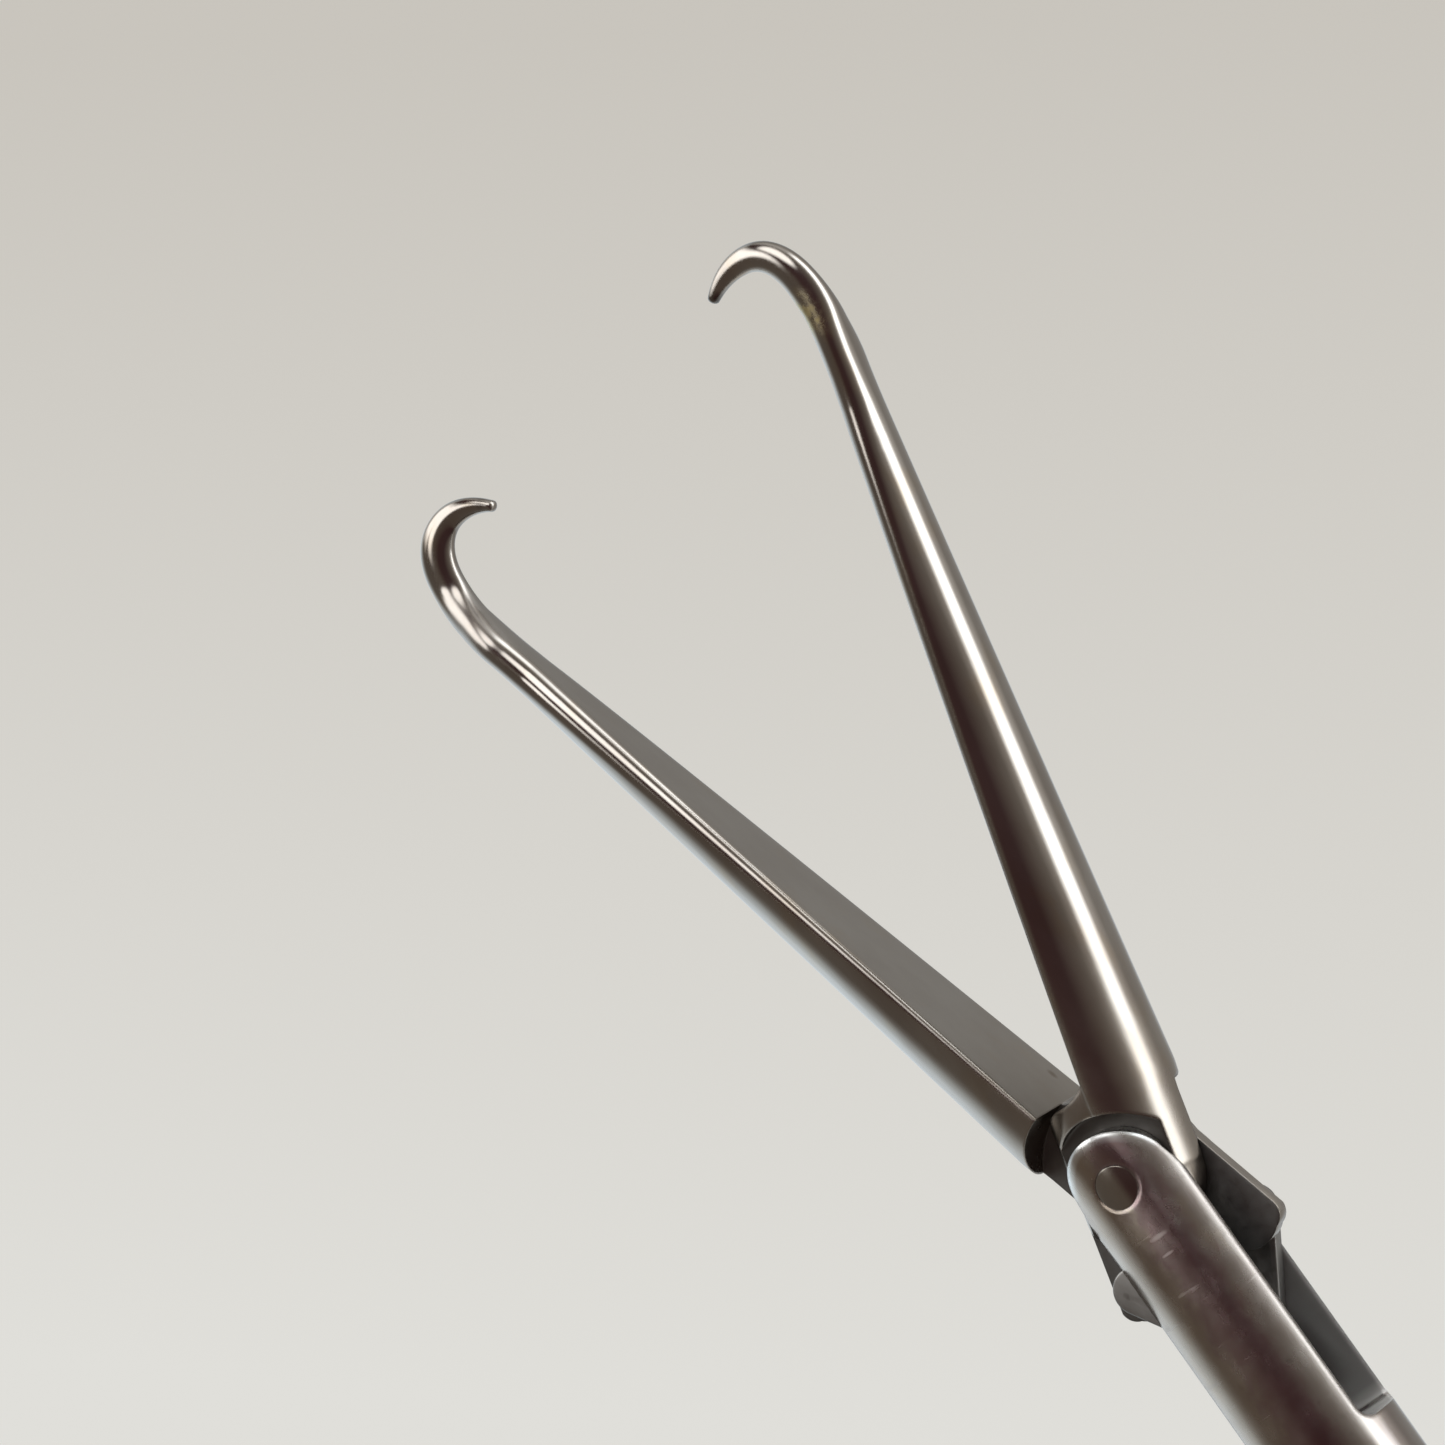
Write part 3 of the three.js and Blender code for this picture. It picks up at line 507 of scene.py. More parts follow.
HOOKS = {
    # outer and inner edge of each hook, in shaft radii along and across the jaw
    "a": ([((12.2, -0.5), (12.8, -0.53), (13.6, -0.19), (13.6, 0.42)),
           ((13.6, 0.42), (13.6, 0.74), (13.42, 1.02), (13.17, 1.19))],
          [((12.2, -0.01), (12.75, 0.02), (13.2, 0.18), (13.22, 0.52)),
           ((13.22, 0.52), (13.23, 0.74), (13.14, 0.94), (13.03, 1.1))]),
    "b": ([((12.2, -0.51), (12.8, -0.53), (13.6, -0.25), (13.62, 0.44)),
           ((13.62, 0.44), (13.63, 0.8), (13.42, 1.1), (13.03, 1.28))],
          [((12.2, -0.01), (12.75, 0.03), (13.18, 0.25), (13.2, 0.62)),
           ((13.2, 0.62), (13.2, 0.84), (13.07, 1.03), (12.92, 1.15))]),
}


def shank(side):
    rings = []
    corner = 0.16 * R
    for i in range(9):                        # rounded rear of the heel
        a = math.pi / 2 * i / 8
        rings.append((HEEL_BACK + corner * (1 - math.cos(a)), SHANK_HEEL - corner * (1 - math.sin(a))))
    for x in np.arange(HEEL_BACK + corner + 0.3, LEAN_START - 0.8, 0.3):
        blend = smooth_step(0.85 * R, 1.3 * R, x)
        rings.append((x, (1 - blend) * SHANK_HEEL + blend * shank_radius(max(x, 1.3 * R))))
    skin = []
    for x, radius in rings:
        skin.append([(x, y, z) for y, z in half_round(radius, corner_round(x))])

    # towards the bend the section leans to its own side of the middle and turns oval
    outer_curves, inner_curves = HOOKS[side]
    start = LEAN_START / R
    r0 = shank_radius(LEAN_START) / R
    lead_o = [((start, -r0), (start + 1, -r0 + 0.046), (11.4, -0.5), (12.2, -0.5 if side == "a" else -0.51))]
    lead_i = [straight((start, -0.01), (12.2, -0.01))]
    outer = np.r_[along(lead_o, 51)[:-1], along(outer_curves, 84)]
    inner = np.r_[along(lead_i, 51)[:-1], along(inner_curves, 84)]
    for i in range(len(outer)):
        o, n = outer[i], inner[i]
        middle = (o + n) / 2
        beyond = max(0, i - 50) / 84
        x_here = middle[0] if i <= 50 else 12.2 * R + beyond * 2.4 * R
        across = np.linalg.norm(o - n)
        unit = (o - n) / across
        lean = smooth_step(11.6 * R, 12.9 * R, x_here)
        round_up = smooth_step(10.7 * R, 13.2 * R, x_here)
        radius = shank_radius(min(x_here, 12.4 * R))
        slim = (0.195 - 0.085 * smooth_step(0.25, 1, beyond)) * R
        thick = (1 - lean) * radius + lean * slim
        middle_z = lean * 0.212 * R
        fillet = corner_round(x_here) / radius
        back = 0.05 / radius
        base = half_round(1.0, fillet, back)
        ring = []
        for y, z in base:
            a = math.atan2(z, -(y + 0.45))
            flat = n + unit * across * (-y - back) / (1 - back)
            ca = math.copysign(abs(math.cos(a)) ** 0.9, math.cos(a))
            sa = math.copysign(abs(math.sin(a)) ** 0.9, math.sin(a))
            oval = middle + unit * (across / 2) * ca
            p = flat * (1 - round_up) + oval * round_up
            ring.append((p[0], p[1], (z * (1 - round_up) + sa * round_up) * thick + middle_z))
        skin.append(ring)
    # blunt rounded tip
    heading = (outer[-1] + inner[-1]) / 2 - (outer[-3] + inner[-3]) / 2
    heading /= np.linalg.norm(heading)
    last = np.array(skin[-1])
    centre = last.mean(axis=0)
    for i in range(1, 7):
        a = math.pi / 2 * i / 6.3
        push = np.array([heading[0], heading[1], 0]) * 0.07 * R * math.sin(a)
        skin.append([tuple(centre + (p - centre) * math.cos(a) + push) for p in last])
    return loft("jaw_" + side, skin)


def jaw(side):
    body = shank(side)
    combine(body, rod_z("scoop", SCOOP_R, -2 * R, 0.05, segments=160))
    combine(body, rod_z("shoulder", SHOULDER_R, HUB_TOP, 2 * R, segments=160))

    # hub and tail, in the front half of the slot
    rx = -ARM * math.cos(TAIL_ANGLE)
    ry = ARM * math.sin(TAIL_ANGLE)
    flare = [bezier((1.47 * R, -0.05 * R), (1.34 * R, 0.05 * R), (1.24 * R, 0.2 * R), (1.2 * R, 0.46 * R), t)
             for t in np.linspace(0, 1, 12)]
    flare += [bezier((1.2 * R, 0.46 * R), (1.17 * R, 0.66 * R), (1.05 * R, 0.84 * R), (0.7 * R, R), t)
              for t in np.linspace(0.08, 1, 12)]
    flare += [(-0.05, R), (-0.05, -0.7 * R), (0.5 * R, -0.7 * R), (1.1 * R, -0.5 * R)]
    distal = prism("distal", flare, 0.05, R)
    combine(distal, rod_z("shoulder", SHOULDER_R, HUB_TOP, 2 * R, segments=160))
    hub = rod_z("hub", TAIL_HUB_R, 0.055, HUB_TOP - 0.003, segments=160)
    combine(hub, distal, "UNION")
    outline = [(0.3 * R, TAIL_EDGE), (rx - 0.2 * R, TAIL_EDGE)]
    outline += circle(rx - 0.2 * R, TAIL_EDGE - 0.24 * R, 0.24 * R, 10, math.pi / 2, math.pi / 2)[1:]
    outline += circle(rx, ry, TAIL_END_R, 40, math.radians(160), math.radians(110))
    outline += [(0.2 * R, -0.5 * R)]
    tail = prism("tail", outline, 0.06, TAIL_TOP)
    combine(hub, tail, "UNION")
    envelope = solid_round("envelope", 0.93 * R, -3 * R, 2 * R, 192)
    combine(hub, envelope, "INTERSECT")
    combine(body, hub, "UNION")
    combine(body, rod_z("pin_hole", PIN_R + 0.05, -R, 2 * R, segments=96))
    combine(body, rod_z("rivet_hole", RIVET_R + FIT_GAP, 0.45, R, rx, ry, 48))
    clean(body)
    soften(body, 0.14, 3, 38)
    turn(body, Matrix.Rotation(-OPENING, 4, "Z"))
    if side == "b":
        turn(body, Matrix.Rotation(math.pi, 4, "X"))
    return body


place(jaw("a"), "jaw_a", JAW_A, ["jaw_a"])
place(jaw("b"), "jaw_b", JAW_B, ["jaw_b"])


# ---------------------------------------------------------------- links and pins
REST_TAIL = TAIL_ANGLE + OPENING
RIVET = (-ARM * math.cos(REST_TAIL), ARM * math.sin(REST_TAIL))


def stadium(ax, ay, bx, by, radius, segments=40):
    angle = math.atan2(by - ay, bx - ax)
    return (circle(ax, ay, radius, segments, angle + math.pi / 2, math.pi)
            + circle(bx, by, radius, segments, angle - math.pi / 2, math.pi))


def link(side):
    rod = (2 * RIVET[0], 0.0)
    body = prism("link_" + side, stadium(*RIVET, *rod, 0.33 * R), LINK_LOW, LINK_TOP)
    combine(body, rod_z("hole", 0.86, 0, LINK_TOP - 0.25, *RIVET, 64))
    combine(body, rod_z("hole", ROD_PIN_R + ROD_PLAY, 0, R, *rod, 64))
    soften(body, 0.12, 3)
    if side == "b":
        turn(body, Matrix.Rotation(math.pi, 4, "X"))
    return body


def stud(name, radius, z0, z1, x, y, dome=0.12):
    """A pin along Z with slightly rounded ends."""
    profile = [(z0, radius - dome), (z0 + dome * 0.3, radius - dome * 0.3), (z0 + dome, radius),
               (z1 - dome, radius), (z1 - dome * 0.3, radius - dome * 0.3), (z1, radius - dome)]
    rings = [[(px, py, z) for px, py in circle(x, y, r, 64)] for z, r in profile]
    return loft(name, rings)


for side in ("a", "b"):
    place(link(side), "link_" + side, LINK, ["link_" + side])
    rivet = stud("link_rivet_" + side, RIVET_R, 0.48, LINK_TOP - 0.3, *RIVET)
    if side == "b":
        turn(rivet, Matrix.Rotation(math.pi, 4, "X"))
    place(rivet, "jaw_" + side, PIN, ["link_rivet_" + side])

place(stud("rod_pin", ROD_PIN_R, -LINK_TOP, LINK_TOP, ROD_PIN_X, 0), "rod", PIN, ["rod_pin"])


def rod_tip():
    half = 0.46 * R
    back = ROD_PIN_X - 1.1 * R
    outline = circle(ROD_PIN_X, 0, half, 48, -math.pi / 2, math.pi)
    outline += [(back, half), (back - 1.5, 0.35 * R), (back - 1.5, -0.35 * R), (back, -half)]
    blade = prism("rod_tip", outline, -TAIL_TOP, TAIL_TOP)
    soften(blade, 0.15, 3)
    shank_part = revolve("rod_tip_shank", [
        (-40, 1.03), (-34.7, 1.03), (-34.7, 0.001), (back - 0.5, 0.001), (back - 0.5, 0.35 * R),
        (-39.8, 0.35 * R), (-40, 0.33 * R)], 64)
    combine(blade, shank_part, "UNION")
    combine(blade, rod_z("hole", ROD_PIN_R + FIT_GAP, -R, R, ROD_PIN_X, 0, 64))
    return blade


place(rod_tip(), "rod", LINK, ["rod_tip"])


# ---------------------------------------------------------------- clevis and jaw pin
def clevis():
    body = revolve("clevis", [
        (CLEVIS_BACK - 12, 0.39 * R), (R, 0.39 * R), (R, R), (CLEVIS_BACK + 0.12, R), (CLEVIS_BACK, R - 0.12),
        (CLEVIS_BACK, 0.864 * R), (CLEVIS_BACK - 12, 0.864 * R)], 256)
    core = prism("core", circle(0, 0, 0.41 * R, 96), SLOT_END + 0.5, 1.2 * R)
    turn(core, Matrix.Rotation(math.pi / 2, 4, "Y"))
    combine(body, core, "UNION")
    flare = 0.86 * R
    outline = [(CLEVIS_BACK - 13, -1.3 * R), (-0.48 * R, -1.3 * R), (-0.48 * R, -flare)]
    outline += circle(0, 0, CHEEK_R, 96, math.radians(-80), math.radians(160))
    outline += [(-0.48 * R, flare), (-0.48 * R, 1.3 * R), (CLEVIS_BACK - 13, 1.3 * R)]
    combine(body, prism("ends", outline, -1.4 * R, 1.4 * R), "INTERSECT")
    corner = 0.2 * R
    slot = [(2 * R, -SLOT_HALF), (2 * R, SLOT_HALF)]
    slot += circle(SLOT_END + corner, SLOT_HALF - corner, corner, 12, math.pi / 2, math.pi / 2)
    slot += circle(SLOT_END + corner, -SLOT_HALF + corner, corner, 12, math.pi, math.pi / 2)
    tool = prism("slot", slot, -1.5 * R, 1.5 * R)
    turn(tool, Matrix.Rotation(math.pi / 2, 4, "X"))
    combine(body, tool)
    combine(body, rod_z("pin_hole", PIN_R + FIT_GAP, -2 * R, 2 * R, segments=128))
    clean(body)
    soften(body, 0.13, 3, 35)
    return body


place(clevis(), "shaft", CHEEK, ["clevis"])


def jaw_pin():
    body = rod_z("jaw_pin", PIN_R, -R, R, segments=128)
    envelope = solid_round("envelope", R - 0.02, -R, R, 256)
    combine(body, envelope, "INTERSECT")
    clean(body)
    soften(body, 0.07, 3, 30)
    return body


place(jaw_pin(), "shaft", PIN, ["jaw_pin"])


# ---------------------------------------------------------------- shaft
def tube():
    back, front = -300.0, CLEVIS_BACK - 0.1
    inner = 0.87 * R
    profile = [(back, inner + 0.1), (back + 0.1, inner), (front - 0.1, inner), (front, inner + 0.1),
               (front, R - 0.12), (front - 0.035, R - 0.035), (front - 0.12, R)]
    profile += [(x, R) for x in np.linspace(front - 4, back + 4, 12)]
    profile += [(back + 0.12, R), (back, R - 0.12)]
    return revolve("shaft_tube", profile, 192)


place(tube(), "shaft", SHAFT, ["shaft_tube"])


def push_rod():
    front, back = -40.1, LEVER[0] + BALL_R
    profile = [(back - 3, 0.001), (front + 5, 0.001), (front + 5, 0.9), (front + 4.9, 1.0), (front, 1.0),
               (front, 1.5), (front - 0.1, 1.6), (back + 0.2, 1.6), (back + 0.1, 1.5), (back + 0.1, 1.0),
               (back - 3, 1.0)]
    return revolve("push_rod", profile, 64)


place(push_rod(), "rod", SHAFT, ["push_rod"])


def ball():
    profile = []
    for i in range(33):
        a = math.radians(20) + (math.pi - math.radians(20)) * i / 32
        profile.append((LEVER[0] + BALL_R * math.cos(a), max(0.001, BALL_R * math.sin(a))))
    profile += [(LEVER[0] - 0.4, 0.001), (LEVER[0] - 0.4, 1.03)]
    return revolve("rod_ball", profile, 64)


place(ball(), "rod", PIN, ["rod_ball"])


def knob():
    """Fluted knob: the section's radius dips at each flute, and the ends are chamfered round."""
    front, length, radius, flutes, depth = -262.0, 14.0, 10.0, 10, 1.15
    rings = []
    turns = [math.pi / 2 * i / 8 for i in range(9)]
    stations = [(front - 2.4 * (1 - math.sin(a)), 1 - 0.22 * (1 - math.cos(a))) for a in reversed(turns)]
    stations += [(x, 1.0) for x in np.linspace(front - 3, front - length + 1.8, 8)]
    stations += [(front - length + 1.3 * (1 - math.sin(a)), 1 - 0.12 * (1 - math.cos(a))) for a in turns]
    count = 320
    for x, scale in stations:
        ring = []
        for k in range(count):
            a = 2 * math.pi * k / count
            wave = (math.cos(flutes * (a - math.pi / flutes)) + 1) / 2
            r = radius * scale - depth * wave ** 3.2
            ring.append((x, r * math.cos(a), r * math.sin(a)))
        rings.append(ring)
    bore = 5.03
    inner = [[(x, bore * math.cos(2 * math.pi * k / count), bore * math.sin(2 * math.pi * k / count))
              for k in range(count)] for x in (front - length, front)]
    return loft("rotation_knob", rings + inner, closed=True)


knob_body = knob()
hole = revolve("hole", [(5.5, 0.001), (14, 0.001), (14, 1.55), (5.5, 1.55)], 48, (GRUB_X, 0, 0), "Y")
combine(knob_body, hole)
place(knob_body, "shaft", HANDLE, ["rotation_knob"])


def sleeve():
    profile = [(-303.5, 2.2), (-300.1, 2.2), (-300.1, 5.03), (-276.3, 5.03), (-276.3, 6.3), (-276.5, 6.5),
               (-279.9, 6.5), (-279.9, 5.4), (-282.1, 5.4), (-282.1, 6.5), (-300.5, 6.5), (-300.5, 7.6),
               (-300.7, 7.8), (-303.3, 7.8), (-303.5, 7.6)]
    return revolve("bearing_sleeve", profile, 128)


place(sleeve(), "shaft", SHAFT, ["bearing_sleeve"])


def head_nut():
    body = revolve("head_nut", [
        (-307.1, 3.2), (-303.6, 3.0), (-303.6, 8.0), (-306.8, 8.0), (-307.1, 7.7)], 96)
    for side in (-1, 1):
        hole = revolve("hole", [(-308, 0.001), (-305.3, 0.001), (-305.3, 0.8), (-308, 0.8)], 32,
                       (0, 0, side * 5.6))
        combine(body, hole)
    return body


place(head_nut(), "handle", PIN, ["head_nut"])


# ---------------------------------------------------------------- handle
def finger_ring(name, x, y, rx, ry, wall=5.5, half=5.0):
    """An oval ring with a crowned, softly squared section."""
    rings = []
    for i in range(96):
        a = 2 * math.pi * i / 96
        c, s = math.cos(a), math.sin(a)
        ring = []
        for k in range(40):
            b = 2 * math.pi * k / 40
            u = math.copysign(abs(math.cos(b)) ** 0.62, math.cos(b))
            v = math.copysign(abs(math.sin(b)) ** 0.55, math.sin(b))
            w = wall / 2 * (1 + u) + 0.02
            ring.append((x + (rx + w) * c, y + (ry + w) * s, half * v * (0.86 + 0.14 * (1 - abs(u)))))
        rings.append(ring)
    return loft(name, rings, closed=True)


def cast(obj, voxel=0.35, rounds=6):
    """Runs joined solids together like a casting, with soft inside corners."""
    modifier = obj.modifiers.new("remesh", "REMESH")
    modifier.mode = "VOXEL"
    modifier.voxel_size = voxel
    apply_modifiers(obj)
    modifier = obj.modifiers.new("smooth", "SMOOTH")
    modifier.factor = 0.5
    modifier.iterations = rounds
    apply_modifiers(obj)
    return obj


def join(name, objects):
    """Several closed solids as one object, before casting."""
    verts, faces = [], []
    for obj in objects:
        base = len(verts)
        verts += [tuple(v.co) for v in obj.data.vertices]
        faces += [tuple(base + i for i in p.vertices) for p in obj.data.polygons]
        bpy.data.objects.remove(obj)
    mesh = bpy.data.meshes.new(name)
    mesh.from_pydata(verts, [], faces)
    out = bpy.data.objects.new(name, mesh)
    bpy.context.scene.collection.objects.link(out)
    return out


def box_object(name, low, high):
    (x0, y0, z0), (x1, y1, z1) = low, high
    return prism(name, [(x0, y0), (x1, y0), (x1, y1), (x0, y1)], z0, z1)


def handle_frame():
    head = revolve("head", [
        (HEAD_BACK, 0.001), (HEAD_FRONT, 0.001), (HEAD_FRONT, HEAD_R - 0.6), (HEAD_FRONT - 0.6, HEAD_R),
        (HEAD_BACK + 0.3, HEAD_R), (HEAD_BACK, HEAD_R - 0.3)], 128)
    cheek = [(-299, 8.2), (-322, 8.2)] + circle(-323, 0.2, 8, 20, math.pi / 2, math.pi / 2)[1:]
    cheek += circle(-323, -16, 8, 20, math.pi, math.pi / 2)
    cheek += circle(-306, -17, 7, 20, math.pi * 1.5, math.radians(80))
    cheeks = prism("cheeks", cheek, -8.4, 8.4)
    grip = [(-309, -6), (-309, -24)]
    steps = np.linspace(0.05, 1, 24)
    grip += [bezier((-309, -24), (-300, -27), (-292.5, -36), (-291.5, -56), t) for t in steps]
    grip += [(-279.5, -56)]
    grip += [bezier((-279.5, -56), (-279, -36), (-281, -20), (-287, -5), t) for t in steps]
    grip_body = prism("grip", grip, -4.9, 4.9)
    soften(grip_body, 1.2, 5)
    ring = finger_ring("ring", -284, -74, 11, 16)
    body = join("handle_frame", [head, cheeks, grip_body, ring])
    cast(body)
    tools = [
        box_object("room", (-340, -40, -5.7), (HEAD_BACK, 20, 5.7)),
        revolve("bore", [(-340, 0.001), (-276, 0.001), (-276, 6.58), (-340, 6.58)], 128),
        revolve("nut_bore", [(-340, 0.001), (-300.35, 0.001), (-300.35, 8.05), (-340, 8.05)], 128),
        rod_z("screw_hole", 2.53, -20, 20, *LEVER, 64),
        revolve("port_hole", [(0, 0.001), (20, 0.001), (20, 2.53), (0, 2.53)], 64, (PORT_X, 0, 0), "Y"),
    ]
    for tool in tools:
        combine(body, tool)
    combine(body, revolve("detent", [(-284, 0.001), (-276, 0.001), (-276, 1.3), (-284, 1.3)], 32, (0, 0, 8)))
    return body


place(handle_frame(), "handle", HANDLE, ["handle_frame"], smooth=30)


def rack(name, root, tip, side):
    """A curved ratchet strip about the lever screw with small teeth near its free end."""
    radius, width = 40.0, 4.0
    toothed, pitch, depth = 7.5, 1.8, 0.55      # the first two in degrees
    rings = []
    n = 120
    for i in range(n + 1):
        angle = root + (tip - root) * i / n
        from_tip = abs(angle - tip)
        tooth = depth * ((from_tip / pitch) % 1.0) if from_tip < toothed else 0.0
        t = math.radians(angle)
        zs = (0.95 - tooth) * side, 3.6 * side
        edge = 0.35 if i in (0, n) else 0.0
        ring = []
        for r, z in ((radius - width / 2 + edge, zs[0]), (radius + width / 2 - edge, zs[0]),
                     (radius + width / 2 - edge, zs[1]), (radius - width / 2 + edge, zs[1])):
            ring.append((LEVER[0] - r * math.sin(t), LEVER[1] - r * math.cos(t), z))
        rings.append(ring)
    body = loft(name, rings)
    soften(body, 0.18, 2, 50)
    return body


place(rack("ratchet_rack_front", -47, -11, -1), "handle", HANDLE)
place(rack("ratchet_rack_rear", 30, -9, 1), "lever", HANDLE)


def thumb_lever():
    block = box_object("block", (LEVER[0] - 5.5, LEVER[1], -5), (LEVER[0] + 5.5, 6, 5))
    boss = rod_z("boss", 7, -5, 5, *LEVER, 96)
    arm = [bezier((-323.5, -10), (-331, -26), (-341, -40), (-351, -58), t) for t in np.linspace(0, 1, 24)]
    arm += [bezier((-338.5, -59), (-333, -42), (-321, -28), (-312, -17), t) for t in np.linspace(0, 1, 24)]
    arm_body = prism("arm", arm, -4.4, 4.4)
    soften(arm_body, 1.1, 5)
    ring = finger_ring("ring", -353, -71, 11.5, 11.5)
    body = join("thumb_lever", [block, boss, arm_body, ring])
    cast(body, 0.35, 4)
    pocket = rod_z("pocket", BALL_R + 0.1, -8, 3.5, LEVER[0], 0, 96)
    turn(pocket, Matrix.Translation((LEVER[0], 0, 0)) @ Matrix.Rotation(math.pi / 2, 4, "X")
         @ Matrix.Translation((-LEVER[0], 0, 0)))
    combine(pocket, box_object("neck", (LEVER[0] + 0.5, -3.4, -1.9), (LEVER[0] + 10, 7.9, 1.9)), "UNION")
    combine(body, pocket)
    combine(body, rod_z("hole", 2.58, -10, 10, *LEVER, 64))
    return body


place(thumb_lever(), "lever", HANDLE, ["thumb_lever"], smooth=30)


def turned_z(name, profile, x, y, segments=96):
    """A solid turned about Z from (z, radius) stations."""
    rings = [[(px, py, z) for px, py in circle(x, y, r, segments)] for z, r in profile]
    return loft(name, rings)


screw = turned_z("lever_screw", [
    (-9.8, 2.2), (-9.5, 2.5), (8.4, 2.5), (8.45, 2.6), (8.45, 4.0), (8.55, 4.2), (9.2, 4.2), (9.6, 3.9),
    (9.85, 3.2)], *LEVER)
combine(screw, box_object("slot", (LEVER[0] - 5, LEVER[1] - 0.5, 9.2), (LEVER[0] + 5, LEVER[1] + 0.5, 11)))
soften(screw, 0.08, 2, 40)
place(screw, "handle", PIN, ["lever_screw"])

nut = prism("lever_nut", circle(*LEVER, 4.5, 6, math.pi / 6), -9.9, -8.45)
cone = turned_z("cone", [(-9.95, 3.9), (-9.0, 4.9), (-8.4, 4.9)], *LEVER)
combine(nut, cone, "INTERSECT")
combine(nut, rod_z("hole", 2.53, -12, 0, *LEVER, 64))
soften(nut, 0.1, 2, 30)
place(nut, "handle", PIN, ["lever_nut"])

port = revolve("flush_port", [
    (6.9, 1.6), (22, 1.6), (22, 3.0), (21.8, 3.2), (20.6, 3.2), (20.3, 2.8), (12.6, 2.9), (12.3, 3.4),
    (12, 3.9), (11.6, 4.1), (9.9, 4.1), (9.6, 3.8), (9.6, 2.5), (6.9, 2.5)], 96, (PORT_X, 0, 0), "Y")
place(port, "handle", HANDLE, ["flush_port"])


def port_ring(radii, y):
    """Points round the rinsing port's axis."""
    step = 2 * math.pi / len(radii)
    return [(PORT_X + r * math.cos(step * k), y, r * math.sin(step * k)) for k, r in enumerate(radii)]


def flush_cap():
    count, flutes, bore, full = 240, 12, 3.25, 4.6
    stations = [(17.0, 4.25), (17.3, 4.5), (17.8, full), (20, full), (22, full), (23.9, full), (24.5, 4.45),
                (24.85, 4.1), (25.0, 3.6), (25.0, 0.3)]
    rings = []
    for y, r in stations:
        waves = [(math.cos(flutes * 2 * math.pi * k / count) + 1) / 2 for k in range(count)]
        rings.append(port_ring([r - 0.3 * wave ** 2 * min(1.0, r / full) for wave in waves], y))
    inner = [port_ring([r] * count, y) for r, y in ((0.3, 22.1), (bore, 22.1), (bore, 17.0))]
    return loft("flush_cap", rings + inner, closed=True)


place(flush_cap(), "handle", HANDLE, ["flush_cap"])

# small hidden pieces keep their own shapes
for node, material in (("knob_grub_screw", PIN), ("rod_seal", SILICONE), ("sleeve_o_ring", SILICONE),
                       ("lever_washer_front", PTFE), ("lever_washer_rear", PTFE),
                       ("detent_ball", PIN), ("detent_spring", PIN)):
    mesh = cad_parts[node].data
    mesh.materials.clear()
    mesh.materials.append(material)
    mesh.shade_smooth()
    mesh.set_sharp_from_angle(angle=math.radians(40))


# ---------------------------------------------------------------- camera, floor and light
def look(name, eye, right, forward, lens):
    """A camera at eye, in metres, with right and forward as directions."""
    data = bpy.data.cameras.new(name)
    camera = bpy.data.objects.new(name, data)
    bpy.context.scene.collection.objects.link(camera)
    forward = Vector(forward).normalized()
    right = Vector(right)
    right = (right - forward * right.dot(forward)).normalized()
    up = right.cross(forward)
    rotation = Matrix((right, up, -forward)).transposed()
    camera.matrix_world = Matrix.Translation(eye) @ rotation.to_4x4()
    data.sensor_width = 36
    data.lens = lens
    data.clip_start = 0.01
    data.clip_end = 50
    bpy.context.scene.camera = camera


eye = TO_ROW @ Vector((-5.44, -140.5, 316.9))
look("camera", eye, (-0.57149, -0.709, -0.41318), (0.13383, 0.41624, -0.89935), 127.27)

FLOOR_Z = -0.3
corners = [(-6, -6, FLOOR_Z), (6, -6, FLOOR_Z), (6, 6, FLOOR_Z), (-6, 6, FLOOR_Z)]
# painted light: the floor glows by its own emission, paler along one direction, so it shows no shadows
floor = mesh_object("floor", corners, [(0, 1, 2, 3)])
paper = bpy.data.materials.new("floor")
paper.use_nodes = True
nodes, links = paper.node_tree.nodes, paper.node_tree.links
shader = nodes["Principled BSDF"]
shader.inputs["Roughness"].default_value = 0.9
coords = nodes.new("ShaderNodeTexCoord")
split = nodes.new("ShaderNodeSeparateXYZ")
links.new(coords.outputs["Object"], split.inputs[0])
slope = nodes.new("ShaderNodeMath")
slope.operation = "MULTIPLY_ADD"
links.new(split.outputs["X"], slope.inputs[0])
slope.inputs[1].default_value = -1.33
links.new(split.outputs["Y"], slope.inputs[2])
shade = nodes.new("ShaderNodeMapRange")
links.new(slope.outputs[0], shade.inputs["Value"])
shade.inputs["From Min"].default_value = -0.29
shade.inputs["From Max"].default_value = 0.03
tint = nodes.new("ShaderNodeMix")
tint.data_type = "RGBA"
links.new(shade.outputs["Result"], tint.inputs["Factor"])
tint.inputs[6].default_value = (0.578, 0.552, 0.503, 1)
tint.inputs[7].default_value = (0.752, 0.745, 0.708, 1)
shader.inputs["Base Color"].default_value = (0.05, 0.05, 0.05, 1)
links.new(tint.outputs[2], shader.inputs["Emission Color"])
shader.inputs["Emission Strength"].default_value = 0.93
floor.data.materials.append(paper)
floor.visible_glossy = False

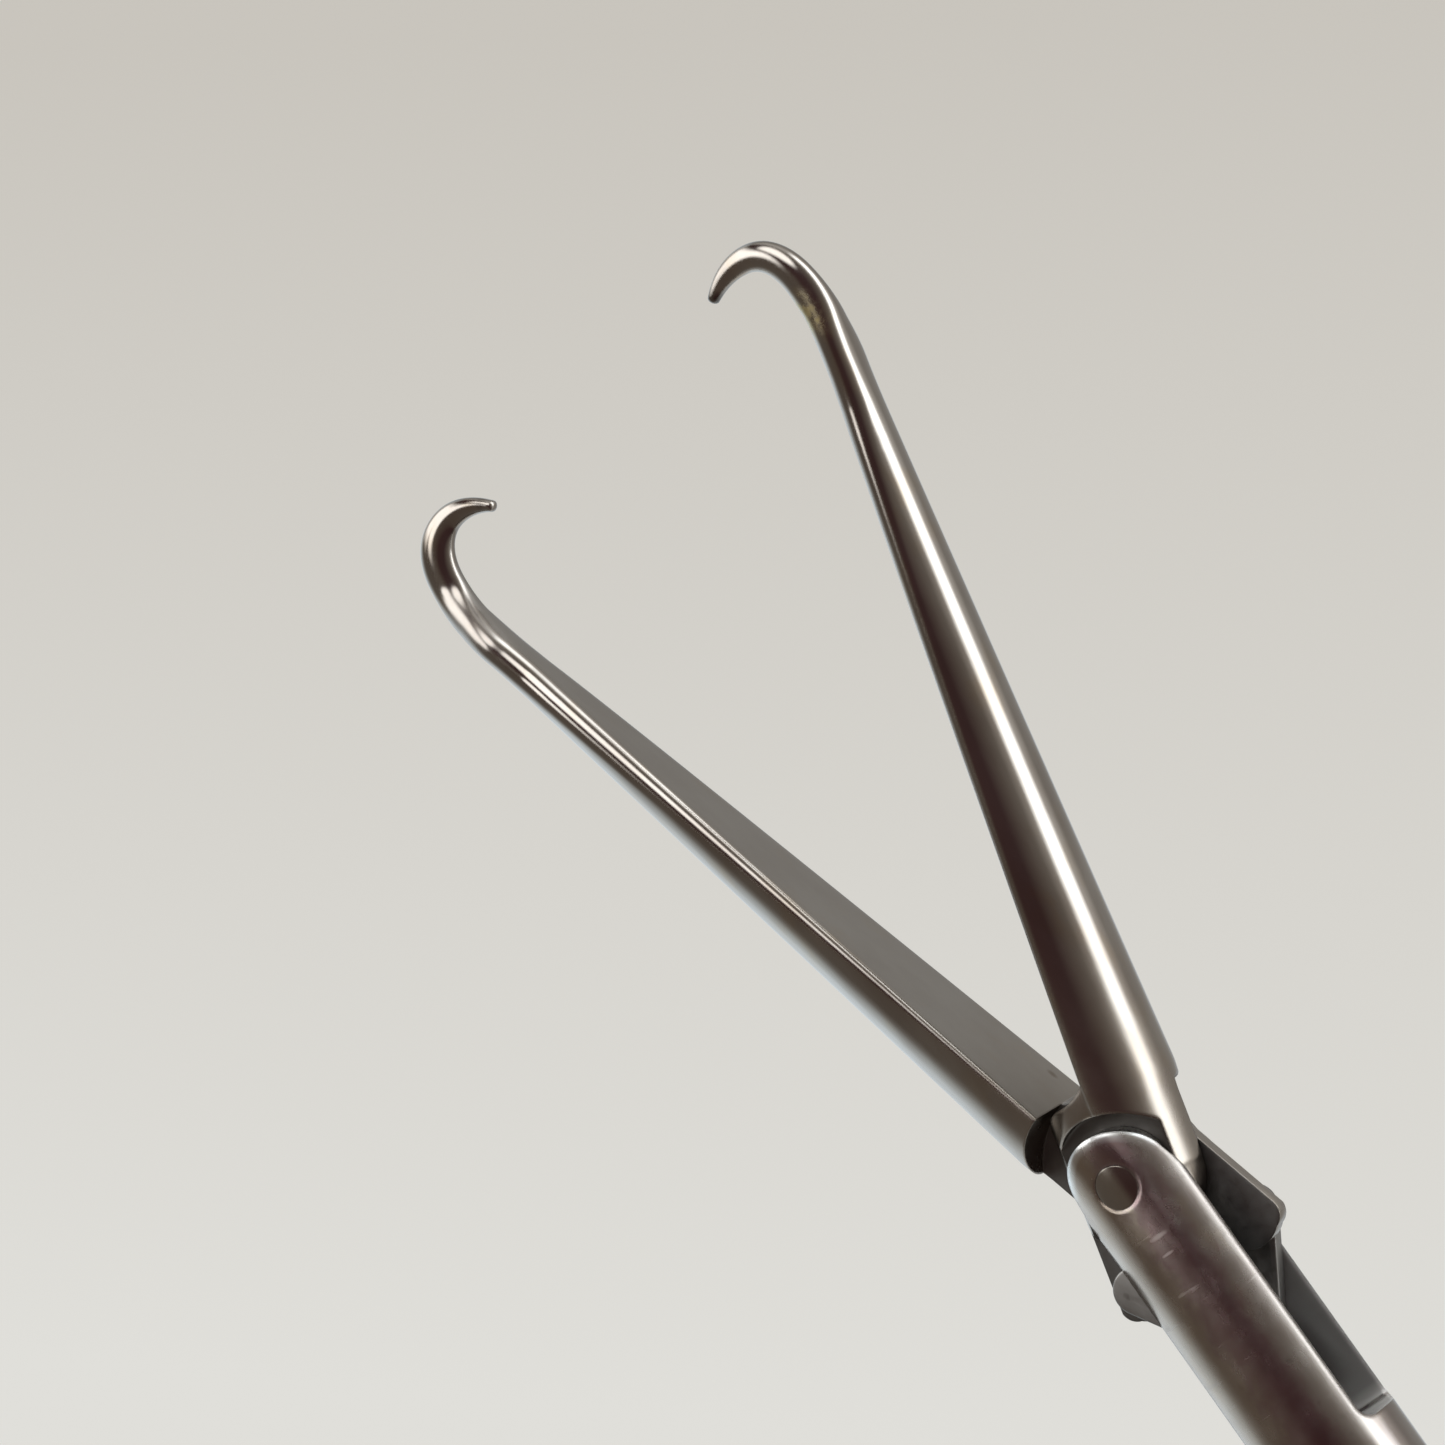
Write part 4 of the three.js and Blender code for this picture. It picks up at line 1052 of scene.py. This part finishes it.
# The room: dim and warm overhead, pale low down behind the instrument.
world = bpy.data.worlds.new("room")
bpy.context.scene.world = world
world.use_nodes = True
nodes, links = world.node_tree.nodes, world.node_tree.links
background = nodes["Background"]
coords = nodes.new("ShaderNodeTexCoord")
split = nodes.new("ShaderNodeSeparateXYZ")
links.new(coords.outputs["Generated"], split.inputs[0])
angle = nodes.new("ShaderNodeMath")
angle.operation = "ARCTAN2"
flip = nodes.new("ShaderNodeMath")
flip.operation = "MULTIPLY"
flip.inputs[1].default_value = -1.0
links.new(split.outputs["Y"], flip.inputs[0])
links.new(flip.outputs[0], angle.inputs[0])
links.new(split.outputs["Z"], angle.inputs[1])
unit = nodes.new("ShaderNodeMapRange")
unit.inputs["From Min"].default_value = -math.pi
unit.inputs["From Max"].default_value = math.pi
links.new(angle.outputs[0], unit.inputs["Value"])
bands = nodes.new("ShaderNodeValToRGB")
links.new(unit.outputs["Result"], bands.inputs["Fac"])


def at(degrees):
    """Place on the ramp of a direction turned from overhead towards -Y."""
    return (degrees + 180) / 360


stops = [
    (-170, (0.6, 0.63, 0.65)), (-112, (1.15, 1.3, 1.4)), (-92, (0.78, 0.86, 0.89)), (-78, (0.34, 0.33, 0.31)),
    (-68, (0.2, 0.175, 0.15)), (-17, (0.17, 0.135, 0.11)), (-3, (0.095, 0.052, 0.05)),
    (24, (0.09, 0.052, 0.052)), (45, (0.19, 0.155, 0.135)), (62, (0.28, 0.25, 0.22)),
    (78, (0.62, 0.58, 0.53)), (85, (3.0, 3.1, 3.1)), (89, (4.2, 4.4, 4.5)), (105, (4.2, 4.4, 4.5)),
    (115, (1.0, 0.97, 0.92)), (136, (0.45, 0.43, 0.4)), (175, (0.44, 0.43, 0.41)),
]
elements = bands.color_ramp.elements
elements[0].position, elements[0].color = at(stops[0][0]), (*stops[0][1], 1)
elements[1].position, elements[1].color = at(stops[-1][0]), (*stops[-1][1], 1)
for degrees, colour in stops[1:-1]:
    element = elements.new(at(degrees))
    element.color = (*colour, 1)
seen = nodes.new("ShaderNodeLightPath")


def fade(source, low, high):
    node = nodes.new("ShaderNodeMapRange")
    node.inputs["From Min"].default_value = low
    node.inputs["From Max"].default_value = high
    links.new(source, node.inputs["Value"])
    return node.outputs["Result"]


def times(a, b):
    node = nodes.new("ShaderNodeMath")
    node.operation = "MULTIPLY"
    links.new(a, node.inputs[0])
    links.new(b, node.inputs[1])
    return node.outputs[0]


# the long window dims towards both ends of the room
square = times(split.outputs["X"], split.outputs["X"])
dim = nodes.new("ShaderNodeMix")
dim.data_type = "RGBA"
dim.blend_type = "DARKEN"
links.new(fade(square, 0.27, 0.45), dim.inputs["Factor"])
links.new(bands.outputs["Color"], dim.inputs[6])
dim.inputs[7].default_value = (0.95, 0.95, 0.93, 1)
# a second window, high beyond the jaws' tips, and two lamps beside it
ahead = times(times(fade(split.outputs["X"], 0.47, 0.6), fade(split.outputs["Y"], 0.1, 0.25)),
              times(fade(split.outputs["Z"], 0.0, 0.15), fade(split.outputs["Y"], 0.75, 0.6)))


def lamp(direction, outer, inner):
    """A round soft light, as cosines of the angle from its middle."""
    towards = nodes.new("ShaderNodeVectorMath")
    towards.operation = "DOT_PRODUCT"
    links.new(coords.outputs["Generated"], towards.inputs[0])
    towards.inputs[1].default_value = Vector(direction).normalized()
    return fade(towards.outputs["Value"], outer, inner)


def brighter(a, b):
    node = nodes.new("ShaderNodeMath")
    node.operation = "MAXIMUM"
    links.new(a, node.inputs[0])
    links.new(b, node.inputs[1])
    return node.outputs[0]


lit = brighter(brighter(ahead, lamp((0.66, -0.3, 0.68), 0.93, 0.965)), lamp((0.5, 0.35, 0.79), 0.97, 0.985))
window = nodes.new("ShaderNodeMix")
window.data_type = "RGBA"
links.new(lit, window.inputs["Factor"])
links.new(dim.outputs[2], window.inputs[6])
window.inputs[7].default_value = (3.2, 3.2, 3.15, 1)
pale = nodes.new("ShaderNodeMix")
pale.data_type = "RGBA"
links.new(seen.outputs["Is Camera Ray"], pale.inputs["Factor"])
links.new(window.outputs[2], pale.inputs[6])
pale.inputs[7].default_value = (0.68, 0.67, 0.635, 1)
links.new(pale.outputs[2], background.inputs["Color"])

bpy.context.scene.view_settings.view_transform = "Standard"
